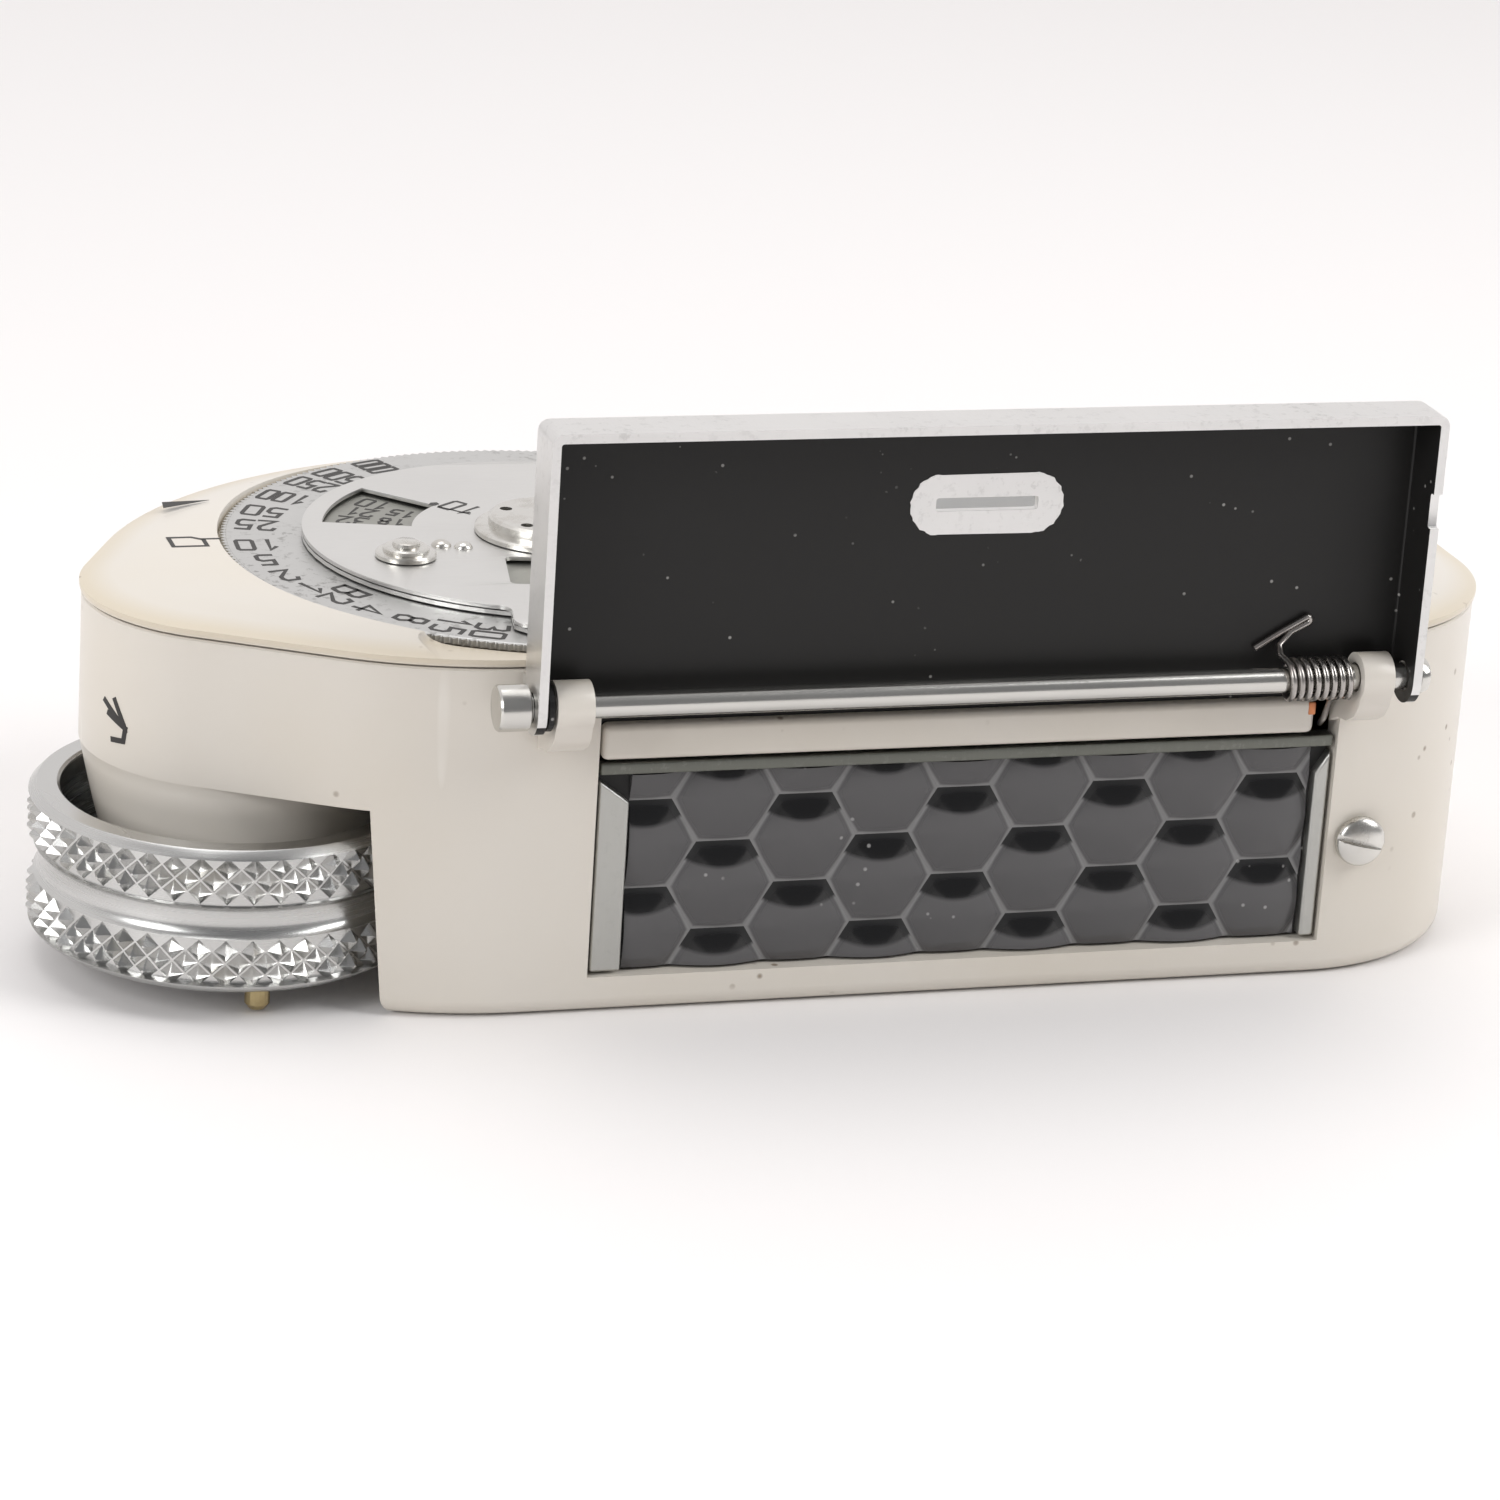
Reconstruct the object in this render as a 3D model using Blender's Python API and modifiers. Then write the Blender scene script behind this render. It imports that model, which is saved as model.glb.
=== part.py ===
"""Selenium light meter: clip-on exposure meter with a coupled dial and a hinged lid.

Frame: X to the right of the meter, +Y to its back, +Z up. The origin is on the exposure dial's axis,
at the level of the underside. Sizes are in millimetres and become metres in the helpers.
"""
import math

import bmesh
import bpy
from mathutils import Matrix, Vector

MM = 0.001

# ---------------------------------------------------------------- driving sizes, body
BODY_DEPTH = 29.8
BODY_RIGHT = 41.9          # X of the right end
SEAM_Z = 15.9              # top rim of the lower housing
COVER_TOP = 16.85
WALL = 1.2
BOTTOM_ROUND = 0.8
NOSE_X, NOSE_Y, NOSE_R = -14.5, -3.4, 7.1
FRONT_BLEND_X, FRONT_BLEND_R = -4.4, 16.3
BACK_BLEND_X, BACK_BLEND_R = -0.4, 21.0
END_R = 9.5
STEP_Z = 9.3               # underside of the nose, above the wheel
CROWN_LIP, CROWN_WIDTH, CROWN_PROUD = 0.45, 3.2, 0.1
SPIGOT_DROP = 0.5          # how far the cover reaches down inside the housing
FIT = 0.15                 # gap between still pieces
RUN = 0.08                 # radial running clearance
AIR = 0.3                  # gap between pieces that pass each other

# ---------------------------------------------------------------- window, lens and cell
WINDOW_X0, WINDOW_W = -1.4, 34.0
WINDOW_Z0 = 1.7
BAR_Z0, BAR_Z1 = 11.6, 13.2
BAR_SHORT = 1.2            # how much shorter the bar is at its right end
WING_LEFT, WING_RIGHT, FRAME_T, FRAME_STRIP = 1.35, 0.65, 0.8, 0.5
LENS_T = 1.6
CELL_SETBACK, CELL_T = 3.0, 0.8

# ---------------------------------------------------------------- lid and hinge
ROD_OUT = 2.0              # rod axis ahead of the front face
ROD_Z = 14.92
ROD_R = 0.575
ROD_HEAD_R, ROD_HEAD_L = 1.0, 1.4
LUG_R, LUG_W = 1.1, 1.6
LUG_LEFT_GAP = 1.15        # from the left lug's inner side to its window edge, plus the lug
LID_SHEET = 0.4
LID_ROUND = 0.25
LID_FACE = 1.25            # rod axis to the lid's inner face
LID_H = 12.2               # rod axis to the free edge
LID_TAIL = 0.7             # plate past the rod axis
EAR_R = 1.2
EAR_INSET = 0.02           # ears this much thinner than the sheet on each side
LID_RIM_GAP = 1.8          # closed lid's rim to the front face
EAR_GAP = 0.5              # left lug to the left ear, room for the washer
EAR_RIGHT_GAP = 0.8        # right lug to the right ear
SLOT_W, SLOT_H, SLOT_Z = 4.6, 0.6, 8.0
CATCH_X, CATCH_Z, CATCH_R, CATCH_PROUD = 34.1, 6.48, 1.15, 0.7

# ---------------------------------------------------------------- coupling wheel
WHEEL_X, WHEEL_Y = -15.35, -5.6
WHEEL_R, WHEEL_INNER_R = 8.8, 7.4
WHEEL_Z0, WHEEL_H, WHEEL_FLOOR = 1.3, 6.6, 1.2
WHEEL_LIFT = 1.0
NOTCH_CLEAR, NOTCH_FLARE = 0.25, 0.8   # room round the wheel, more of it at the bottom
NOTCH_WALL_X = WHEEL_X + 4.05
NECK_CLEAR = 0.4
NECK_Z0, NECK_X, NECK_Y, NECK_R = 5.2, -15.2, -5.2, 5.5
SHAFT_R, BUSH_R = 1.15, 2.4
PIN_R, PIN_OFFSET, PIN_ANGLE, PIN_TIP_Z = 0.55, 6.9, -90.0, 0.15
SPRING_WIRE = 0.2

# ---------------------------------------------------------------- dial stack
DIAL_EDGE = 0.2            # body front to the dial's rim
DIAL_Z, DIAL_T = 16.3, 0.35
HUB_R, STUD_R, NUT_BORE = 3.2, 1.2, 1.3
FILM_R, FILM_DISC_R, LAYER_T = 11.1, 10.5, 0.18
TAB_ANGLE, TAB_REACH, TAB_W = -100.0, 13.2, 5.0
SLOT_NEAR, SLOT_FAR, SLOT_HALF = 3.7, 7.6, 2.3
NUT_R, NUT_FLANGE_R = 2.8, 3.4
SPANNER_OFFSET, SPANNER_ANGLES = 2.1, (45, 150, 225, 330)
RELIEF_HALF, RELIEF_DEPTH = 9.2, 3.0
WHEEL_TEETH, IDLER_TEETH, DIAL_TEETH, GEAR_MODULE = 12, 13, 36, 0.45
TOOTH_ADD, TOOTH_SLIM = 0.8, 0.82
GEAR_Z, GEAR_T = 13.0, 1.0
CHASSIS_Z, CHASSIS_T = 10.8, 0.8
RIVET_X, RIVET_Y = -7.3, -2.9

# ---------------------------------------------------------------- underside and movement
BASE_T = 0.8
FOOT_X, FOOT_Y = 18.6, 2.2
FOOT_W, FOOT_L, FOOT_T, FOOT_Z = 18.5, 18.0, 1.3, 0.6
RECESS_Z, RECESS_SIDE = 3.2, 1.0
MOVE_X, MOVE_Y = 27.0, -1.5
MAGNET_R, MAGNET_IN, CORE_R = 6.6, 4.6, 2.6
COIL_Z0, COIL_Z1 = 4.6, 10.2
NEEDLE_Z, NEEDLE_L, NEEDLE_REST = 12.9, 9.3, 40.0
PANE_X0, PANE_X1, PANE_Y0, PANE_Y1 = 17.4, 34.5, 2.5, 9.5
POSTS = ((-1.0, 10.6), (35.8, -8.0), (35.8, 8.6))
POST_R = 1.6

# ---------------------------------------------------------------- worked out from the above
FRONT = -BODY_DEPTH / 2
BACK = BODY_DEPTH / 2
ROD_Y = FRONT - ROD_OUT
WINDOW_X1 = WINDOW_X0 + WINDOW_W
DIAL_R = BACK - DIAL_EDGE
DIAL_TOP = DIAL_Z + DIAL_T
CEILING = SEAM_Z - SPIGOT_DROP
LUG_L1 = WINDOW_X0 - LUG_LEFT_GAP
LUG_L0 = LUG_L1 - LUG_W
LUG_R0 = WINDOW_X1 - 0.4
LUG_R1 = LUG_R0 + LUG_W - FIT
EAR_L1 = LUG_L0 - EAR_GAP
EAR_L0 = EAR_L1 - LID_SHEET
EAR_R0 = LUG_R1 + EAR_RIGHT_GAP
EAR_R1 = EAR_R0 + LID_SHEET
AXIS_GAP = math.hypot(WHEEL_X, WHEEL_Y)
IDLER_TO_WHEEL = GEAR_MODULE * (WHEEL_TEETH + IDLER_TEETH) / 2 + 0.02
IDLER_TO_DIAL = GEAR_MODULE * (IDLER_TEETH + DIAL_TEETH) / 2 + 0.02
IDLER_SWING = math.acos((IDLER_TO_DIAL ** 2 + AXIS_GAP ** 2 - IDLER_TO_WHEEL ** 2) / (2 * IDLER_TO_DIAL * AXIS_GAP))
IDLER_ANGLE = math.atan2(WHEEL_Y, WHEEL_X) + IDLER_SWING
IDLER_X, IDLER_Y = IDLER_TO_DIAL * math.cos(IDLER_ANGLE), IDLER_TO_DIAL * math.sin(IDLER_ANGLE)
WHEEL_FLOOR_Z = WHEEL_Z0 + WHEEL_FLOOR
OUTLINE = (
    (BODY_RIGHT - END_R, FRONT + END_R, END_R),
    (BODY_RIGHT - END_R, BACK - END_R, END_R),
    (BACK_BLEND_X, BACK - BACK_BLEND_R, BACK_BLEND_R),
    (NOSE_X, NOSE_Y, NOSE_R),
    (FRONT_BLEND_X, FRONT + FRONT_BLEND_R, FRONT_BLEND_R),
)

FINISHES = {
    "enamel": ((0.80, 0.76, 0.69), 0.42, 0.0),
    "steel": ((0.62, 0.61, 0.59), 0.30, 1.0),
    "aluminium": ((0.80, 0.80, 0.79), 0.32, 1.0),
    "silver_satin": ((0.72, 0.71, 0.68), 0.38, 1.0),
    "brass": ((0.66, 0.50, 0.25), 0.35, 1.0),
    "black_paint": ((0.02, 0.02, 0.02), 0.35, 0.0),
    "lens_glass": ((0.03, 0.03, 0.035), 0.08, 0.0),
    "clear_glass": ((0.9, 0.93, 0.93), 0.05, 0.0),
    "selenium": ((0.16, 0.15, 0.17), 0.35, 0.4),
    "board": ((0.20, 0.11, 0.06), 0.6, 0.0),
    "white_paint": ((0.85, 0.84, 0.80), 0.5, 0.0),
    "magnet": ((0.25, 0.25, 0.26), 0.5, 0.8),
    "copper": ((0.70, 0.35, 0.20), 0.4, 1.0),
}


# ================================================================ helpers
def clear_scene():
    for obj in list(bpy.data.objects):
        bpy.data.objects.remove(obj, do_unlink=True)


def collection(name):
    made = bpy.data.collections.new(name)
    bpy.context.scene.collection.children.link(made)
    return made


def material(name):
    if name in bpy.data.materials:
        return bpy.data.materials[name]
    colour, rough, metal = FINISHES[name]
    made = bpy.data.materials.new(name)
    made.use_nodes = True
    shader = made.node_tree.nodes["Principled BSDF"]
    shader.inputs["Base Color"].default_value = (*colour, 1.0)
    shader.inputs["Roughness"].default_value = rough
    shader.inputs["Metallic"].default_value = metal
    return made


clear_scene()
PARTS = collection("selenium_light_meter")
CUTTERS = collection("cutters")


def place(name, mesh, at, finish=None):
    """Put a mesh in the scene: a part when it has a finish, a cutter when it has none."""
    obj = bpy.data.objects.new(name, mesh)
    obj.location = Vector(at) * MM
    if finish:
        obj.data.materials.append(material(finish))
        PARTS.objects.link(obj)
    else:
        obj.hide_render = True
        obj.display_type = "WIRE"
        CUTTERS.objects.link(obj)
    return obj


def mesh_from(bm, name, smooth=True):
    bmesh.ops.recalc_face_normals(bm, faces=bm.faces[:])
    mesh = bpy.data.meshes.new(name)
    bm.to_mesh(mesh)
    bm.free()
    if smooth:
        mesh.shade_smooth()
        mesh.set_sharp_from_angle(angle=math.radians(35))
    return mesh


def box(name, lo, hi, finish=None, bevel=0.0, pivot=None):
    """A block between two corners, with its origin at its middle or at a pivot."""
    lo, hi = Vector(lo), Vector(hi)
    middle = (lo + hi) / 2 if pivot is None else Vector(pivot)
    bm = bmesh.new()
    bmesh.ops.create_cube(bm, size=1.0)
    bmesh.ops.scale(bm, vec=(hi - lo) * MM, verts=bm.verts)
    bmesh.ops.translate(bm, vec=((lo + hi) / 2 - middle) * MM, verts=bm.verts)
    if bevel:
        bmesh.ops.bevel(bm, geom=bm.edges[:], offset=bevel * MM, segments=2, profile=0.5, affect="EDGES")
    return place(name, mesh_from(bm, name), middle, finish)


def rod(name, radius, start, length, axis="Z", finish=None, segments=32, tip=None):
    """A cylinder or cone from a start point along an axis."""
    bm = bmesh.new()
    bmesh.ops.create_cone(bm, cap_ends=True, segments=segments, radius1=radius * MM,
                          radius2=(radius if tip is None else tip) * MM, depth=length * MM)
    bmesh.ops.translate(bm, vec=(0, 0, length * MM / 2), verts=bm.verts)
    if axis == "X":
        bmesh.ops.rotate(bm, matrix=Matrix.Rotation(math.pi / 2, 3, "Y"), verts=bm.verts)
    if axis == "Y":
        bmesh.ops.rotate(bm, matrix=Matrix.Rotation(-math.pi / 2, 3, "X"), verts=bm.verts)
    return place(name, mesh_from(bm, name), start, finish)


def turned(name, profile, at, finish=None, steps=32, axis="Z"):
    """A turned solid: the (radius, height) profile runs down its outer side."""
    mesh = bpy.data.meshes.new(name)
    points = [(r * MM, 0, z * MM) for r, z in profile]
    closed = profile[0][0] > 0
    edges = [(i, i + 1) for i in range(len(points) - 1)]
    if closed:
        edges.append((len(points) - 1, 0))
    mesh.from_pydata(points, edges, [])
    obj = place(name, mesh, at, finish)
    if axis == "X":
        obj.rotation_euler = (0, math.pi / 2, 0)
    if axis == "-Y":
        obj.rotation_euler = (math.pi / 2, 0, 0)
    screw = obj.modifiers.new("turn", "SCREW")
    screw.steps = steps
    screw.render_steps = steps
    screw.use_merge_vertices = True
    screw.merge_threshold = 0.000001
    screw.use_smooth_shade = False
    return obj


def wire(name, points, radius, at, finish, sides=1):
    """A round wire with closed ends through a list of points."""
    curve = bpy.data.curves.new(name, "CURVE")
    curve.dimensions = "3D"
    curve.bevel_depth = radius * MM
    curve.bevel_resolution = sides
    curve.use_fill_caps = True
    spline = curve.splines.new("POLY")
    spline.points.add(len(points) - 1)
    for knot, point in zip(spline.points, points):
        knot.co = (*(Vector(point) * MM), 1.0)
    curve.materials.append(material(finish))
    obj = bpy.data.objects.new(name, curve)
    obj.location = Vector(at) * MM
    PARTS.objects.link(obj)
    return obj


def flat(name, loops, z0, z1, at=(0, 0), finish=None):
    """A flat outline with holes, made from a filled 2D curve and turned into a mesh."""
    curve = bpy.data.curves.new(name, "CURVE")
    curve.dimensions = "2D"
    curve.fill_mode = "BOTH"
    curve.extrude = (z1 - z0) / 2 * MM
    for loop in loops:
        spline = curve.splines.new("POLY")
        spline.points.add(len(loop) - 1)
        for knot, (x, y) in zip(spline.points, loop):
            knot.co = (x * MM, y * MM, 0.0, 1.0)
        spline.use_cyclic_u = True
    source = bpy.data.objects.new(name + "_outline", curve)
    PARTS.objects.link(source)
    evaluated = source.evaluated_get(bpy.context.evaluated_depsgraph_get())
    mesh = bpy.data.meshes.new_from_object(evaluated)
    bpy.data.objects.remove(source, do_unlink=True)
    bm = bmesh.new()
    bm.from_mesh(mesh)
    bmesh.ops.remove_doubles(bm, verts=bm.verts, dist=0.00001 * MM)
    bpy.data.meshes.remove(mesh)
    return place(name, mesh_from(bm, name), (*at, (z0 + z1) / 2), finish)


def loft(name, rings, finish=None):
    """A closed solid through rings of equal point counts, each a list of (x, y, z)."""
    bm = bmesh.new()
    rows = [[bm.verts.new(Vector(point) * MM) for point in ring] for ring in rings]
    for low, high in zip(rows, rows[1:]):
        for i in range(len(low)):
            k = (i + 1) % len(low)
            bm.faces.new((low[i], low[k], high[k], high[i]))
    bm.faces.new(rows[0][::-1])
    bm.faces.new(rows[-1])
    return place(name, mesh_from(bm, name), (0, 0, 0), finish)


def combine(target, tool, operation):
    mod = target.modifiers.new(operation.lower(), "BOOLEAN")
    mod.operation = operation
    mod.object = tool
    mod.solver = "EXACT"
    return target


def cut(target, *tools):
    for tool in tools:
        combine(target, tool, "DIFFERENCE")


def join(target, *tools):
    for tool in tools:
        combine(target, tool, "UNION")


def arc(cx, cy, radius, start, end, steps):
    """Points on an arc, angles in degrees."""
    angles = [math.radians(start + (end - start) * i / steps) for i in range(steps + 1)]
    return [(cx + radius * math.cos(a), cy + radius * math.sin(a)) for a in angles]


def circle(radius, steps=32, cx=0.0, cy=0.0):
    return arc(cx, cy, radius, 0, 360, steps)[:-1]


def tangent_angle(first, second):
    """Direction of the outward normal of the line that touches two circles, counterclockwise."""
    dx, dy = second[0] - first[0], second[1] - first[1]
    return math.degrees(math.atan2(dy, dx) - math.acos((first[2] - second[2]) / math.hypot(dx, dy)))


def belt(inset):
    """The body's plan outline, moved inwards: a belt round the outline circles."""
    points = []
    count = len(OUTLINE)
    for i, here in enumerate(OUTLINE):
        start = tangent_angle(OUTLINE[i - 1], here)
        sweep = (tangent_angle(here, OUTLINE[(i + 1) % count]) - start) % 360
        steps = max(2, round(sweep / 7.5))
        points += arc(here[0], here[1], here[2] - inset, start, start + sweep, steps)
    return points


def level(inset, z):
    return [(x, y, z) for x, y in belt(inset)]


def prism(name, inset, z0, z1, finish=None):
    return loft(name, [level(inset, z0), level(inset, z1)], finish)


def notch(name, grow):
    """The space round the wheel under the nose, grown by a wall or a gap."""
    radius = WHEEL_R + NOTCH_CLEAR + grow
    top = STEP_Z + grow
    made = rod(name, radius + NOTCH_FLARE, (WHEEL_X, WHEEL_Y, -2), top + 2, segments=48, tip=radius)
    side = box(name + "_side", (-40, WHEEL_Y, -3), (NOTCH_WALL_X + grow, 40, top - 0.002))
    join(made, side)
    return made


def gear_outline(teeth, phase, slim):
    """A gear's outline: each tooth has a root, a pitch and a tip width."""
    pitch_r = GEAR_MODULE * teeth / 2
    half = math.pi / 2 / teeth
    shape = ((pitch_r - 1.15 * GEAR_MODULE, 1.2), (pitch_r, slim), (pitch_r + TOOTH_ADD * GEAR_MODULE, 0.4))
    points = []
    for tooth in range(teeth):
        middle = phase + 2 * math.pi * tooth / teeth
        sides = [(r, middle - half * share) for r, share in shape]
        sides += [(r, middle + half * share) for r, share in reversed(shape)]
        points += [(r * math.cos(a), r * math.sin(a)) for r, a in sides]
    return points


def idler_phase():
    """A gap of the idler faces the dial gear's tooth."""
    return IDLER_ANGLE + math.pi + math.pi / IDLER_TEETH


def wheel_phase():
    """The pinion's phase, so that its gap meets the idler's tooth on the line between the two."""
    line = math.atan2(WHEEL_Y - IDLER_Y, WHEEL_X - IDLER_X)
    return line + math.pi + math.pi / WHEEL_TEETH - (idler_phase() - line) * IDLER_TEETH / WHEEL_TEETH


def coil(radius, pitch, turns, per_turn=10, start=0.0):
    """Points of a helix along X, from x = 0."""
    steps = round(turns * per_turn)
    made = []
    for i in range(steps + 1):
        a = start + 2 * math.pi * i / per_turn
        made.append((pitch * i / per_turn, radius * math.cos(a), radius * math.sin(a)))
    return made


# ================================================================ casing
def lower_housing():
    round_45 = BOTTOM_ROUND * (1 - math.sin(math.pi / 4))
    rings = [level(BOTTOM_ROUND, 0), level(round_45, round_45), level(0, BOTTOM_ROUND), level(0, SEAM_Z)]
    housing = loft("lower_housing", rings, "enamel")
    cut(housing, notch("wheel_notch", 0))

    neck_top = [(x, y) for x, y in circle(NOSE_R - 0.02, 48, NOSE_X, NOSE_Y)]
    neck_low = circle(NECK_R, 48, NECK_X, NECK_Y)
    neck = loft("neck", [[(x, y, NECK_Z0) for x, y in neck_low], [(x, y, STEP_Z) for x, y in neck_top],
                         [(x, y, STEP_Z + WALL / 2) for x, y in neck_top]])
    combine(neck, rod("neck_limit", WHEEL_INNER_R - NECK_CLEAR, (WHEEL_X, WHEEL_Y, 0), 20, segments=48),
            "INTERSECT")
    join(housing, neck)

    hollow = prism("housing_hollow", WALL, -1, SEAM_Z + 1)
    cut(hollow, notch("notch_wall", WALL))
    cut(housing, hollow)
    cut(housing, rod("bush_bore", BUSH_R + FIT, (WHEEL_X, WHEEL_Y, 0), 12))
    cut(housing, box("window_cut", (WINDOW_X0, FRONT - 1, WINDOW_Z0),
                     (WINDOW_X1, FRONT + WALL + 0.4, SEAM_Z + 1)))
    half = FOOT_W / 2 + RECESS_SIDE
    cut(housing, box("recess_mouth", (FOOT_X - half, BACK - 2 * WALL, -1), (FOOT_X + half, BACK + 1, RECESS_Z + 0.1)))
    for side, x0, x1 in (("left", LUG_L0, LUG_L1), ("right", LUG_R0, LUG_R1)):
        join(housing, *lug(side, x0, x1))
    cut(housing, rod("rod_bore", ROD_R + RUN, (LUG_L0 - 1, ROD_Y, ROD_Z), LUG_R1 - LUG_L0 + 2, "X"))
    cut(housing, rod("catch_bore", 0.7, (CATCH_X, FRONT - 1, CATCH_Z), WALL + 2, "Y", segments=16))
    return housing


def lug(side, x0, x1):
    """A hinge lug: a barrel round the rod on a web that runs down into the front face."""
    barrel = rod("barrel_" + side, LUG_R, (x0, ROD_Y, ROD_Z), x1 - x0, "X", segments=24)
    top = ROD_Z - 0.85
    profile = ((ROD_Y - LUG_R * 0.7, top), (FRONT + 0.3, top), (FRONT + 0.3, top - 2.0), (FRONT - 0.1, top - 1.7),
               (ROD_Y + 0.5, top - 1.35), (ROD_Y - 0.3, top - 0.75))
    inner = [(x0, y, z) for y, z in profile]
    outer = [(x1, y, z) for y, z in profile]
    return barrel, loft("web_" + side, [inner, outer])


def top_cover():
    proud = CROWN_PROUD
    rings = [level(0.1, SEAM_Z + 0.05), level(-proud * 0.7, SEAM_Z + 0.16), level(-proud, SEAM_Z + CROWN_LIP)]
    crown = COVER_TOP - SEAM_Z - CROWN_LIP
    steps = 5
    for i in range(1, steps + 1):
        share = i / steps
        rings.append(level(CROWN_WIDTH * share - proud, SEAM_Z + CROWN_LIP + crown * math.sin(math.pi / 2 * share)))
    cover = loft("top_cover", rings, "enamel")
    join(cover, prism("spigot", WALL + FIT, CEILING, SEAM_Z + 0.25))
    bar_x0, bar_x1 = WINDOW_X0 + FIT, WINDOW_X1 - BAR_SHORT
    join(cover, box("bar_web", (bar_x0, FRONT + 0.55, BAR_Z0 + 0.5), (bar_x1, FRONT + 1.15, SEAM_Z + 0.2)))
    join(cover, box("bar", (bar_x0, FRONT + 0.02, BAR_Z0), (bar_x1, FRONT + 1.2, BAR_Z1), bevel=0.25))
    cut(cover, rod("dial_pocket", DIAL_R + FIT, (0, 0, DIAL_Z - FIT), 3, segments=72))
    cut(cover, rod("hub_hole", HUB_R + AIR, (0, 0, 10), 10))
    cut(cover, box("finger_relief", (-RELIEF_HALF, FRONT - 1, DIAL_Z),
                   (RELIEF_HALF, FRONT + RELIEF_DEPTH, DIAL_Z + 3), bevel=0.9))
    cut(cover, box("pane_hole", (PANE_X0, PANE_Y0, 10), (PANE_X1, PANE_Y1, 20)))
    return cover


def base_plate():
    base = prism("base_plate", WALL + FIT, 0, BASE_T, "steel")
    cut(base, notch("notch_room", WALL + FIT))
    half = FOOT_W / 2 + RECESS_SIDE
    front = FOOT_Y - FOOT_L / 2 - RECESS_SIDE
    wall = BASE_T - FIT
    join(base, box("recess_block", (FOOT_X - half, front, 0), (FOOT_X + half, BACK - WALL - FIT, RECESS_Z + wall)))
    cut(base, box("recess", (FOOT_X - half + wall, front + wall, -1), (FOOT_X + half - wall, BACK, RECESS_Z)))
    for i, (x, y) in enumerate(POSTS):
        cut(base, rod(f"base_screw_hole_{i}", 0.75, (x, y, -1), 3, segments=16),
            rod(f"base_screw_seat_{i}", 1.35, (x, y, -1), 1.6, segments=16))
    for i, y in enumerate(foot_screw_rows()):
        cut(base, rod(f"foot_tap_{i}", 0.9, (FOOT_X, y, 2), 4, segments=16))
    cut(base, rod("zero_hole", 1.3 + FIT, (MOVE_X + 6, 5, -1), 3, segments=20))
    return base


def foot_screw_rows():
    return FOOT_Y - FOOT_L / 4, FOOT_Y + FOOT_L / 4


def underside():
    foot = box("shoe_foot", (FOOT_X - FOOT_W / 2, FOOT_Y - FOOT_L / 2, FOOT_Z),
               (FOOT_X + FOOT_W / 2, FOOT_Y + FOOT_L / 2, FOOT_Z + FOOT_T), "steel", bevel=0.2)
    neck = FOOT_W / 2 - 3.4
    join(foot, box("foot_neck", (FOOT_X - neck, FOOT_Y - FOOT_L / 2 + 1, FOOT_Z + FOOT_T / 2),
                   (FOOT_X + neck, FOOT_Y + FOOT_L / 2 - 1, RECESS_Z - FIT)))
    for i, y in enumerate(foot_screw_rows()):
        cut(foot, rod(f"foot_hole_{i}", 0.9, (FOOT_X, y, -1), 6, segments=16),
            rod(f"foot_seat_{i}", 1.65, (FOOT_X, y, -1), FOOT_Z + 2.0, segments=20))
        turned(f"foot_screw_{i + 1}", ((0, RECESS_Z + 0.5), (0.78, RECESS_Z + 0.5), (0.78, FOOT_Z + 0.95),
                                       (1.5, FOOT_Z + 0.8), (1.5, FOOT_Z + 0.1), (0, FOOT_Z + 0.1)),
               (FOOT_X, y, 0), "steel", 16)
    for i, (x, y) in enumerate(POSTS):
        post = rod(f"chassis_post_{i + 1}", POST_R, (x, y, BASE_T + FIT), CHASSIS_Z - BASE_T - 2 * FIT,
                   finish="brass", segments=16)
        cut(post, rod(f"post_tap_{i}", 0.75, (x, y, 0), 4.6, segments=16))
        turned(f"base_screw_{i + 1}", ((0, 4.2), (0.6, 4.2), (0.6, 0.55), (1.2, 0.3), (1.2, 0.08), (0, 0.08)),
               (x, y, 0), "steel", 16)
    turned("zero_screw", ((0, 4.0), (0.6, 4.0), (0.6, 0.75), (1.3, 0.75), (1.3, 0.1), (0, 0.1)),
           (MOVE_X + 6, 5, 0), "brass", 20)


# ================================================================ window
def window():
    x0, x1 = WINDOW_X0 + FIT, WINDOW_X1 - FIT
    top = BAR_Z0 - FIT
    y0 = FRONT + 0.2
    frame = box("lens_frame", (x0, y0, WINDOW_Z0 + FIT), (x1, y0 + FRAME_T, top), "steel")
    cut(frame, box("frame_open", (x0 + WING_LEFT, y0 - 1, 0), (x1 - WING_RIGHT, y0 + 4, top - FRAME_STRIP)))
    lens_x0, lens_x1 = x0 + WING_LEFT + FIT, x1 - WING_RIGHT - FIT
    lens_z0, lens_z1 = WINDOW_Z0 + FIT, top - FRAME_STRIP - FIT
    box("honeycomb_lens", (lens_x0, FRONT + 0.3, lens_z0), (lens_x1, FRONT + 0.3 + LENS_T, lens_z1), "lens_glass",
        bevel=0.2)
    y = FRONT + CELL_SETBACK
    box("selenium_cell", (lens_x0, y, lens_z0), (lens_x1, y + CELL_T, BAR_Z1), "selenium")
    y += CELL_T + AIR
    box("cell_backing", (lens_x0 + 1, y, lens_z0 + 0.2), (lens_x1 - 1, y + CELL_T, BAR_Z1 - 0.4), "board")
    y += CELL_T + FIT
    box("cell_contact", (lens_x0 + 4, y, lens_z0 + 1), (lens_x0 + 7, y + 0.25, BAR_Z1 - 1), "copper", bevel=0.08)


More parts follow.
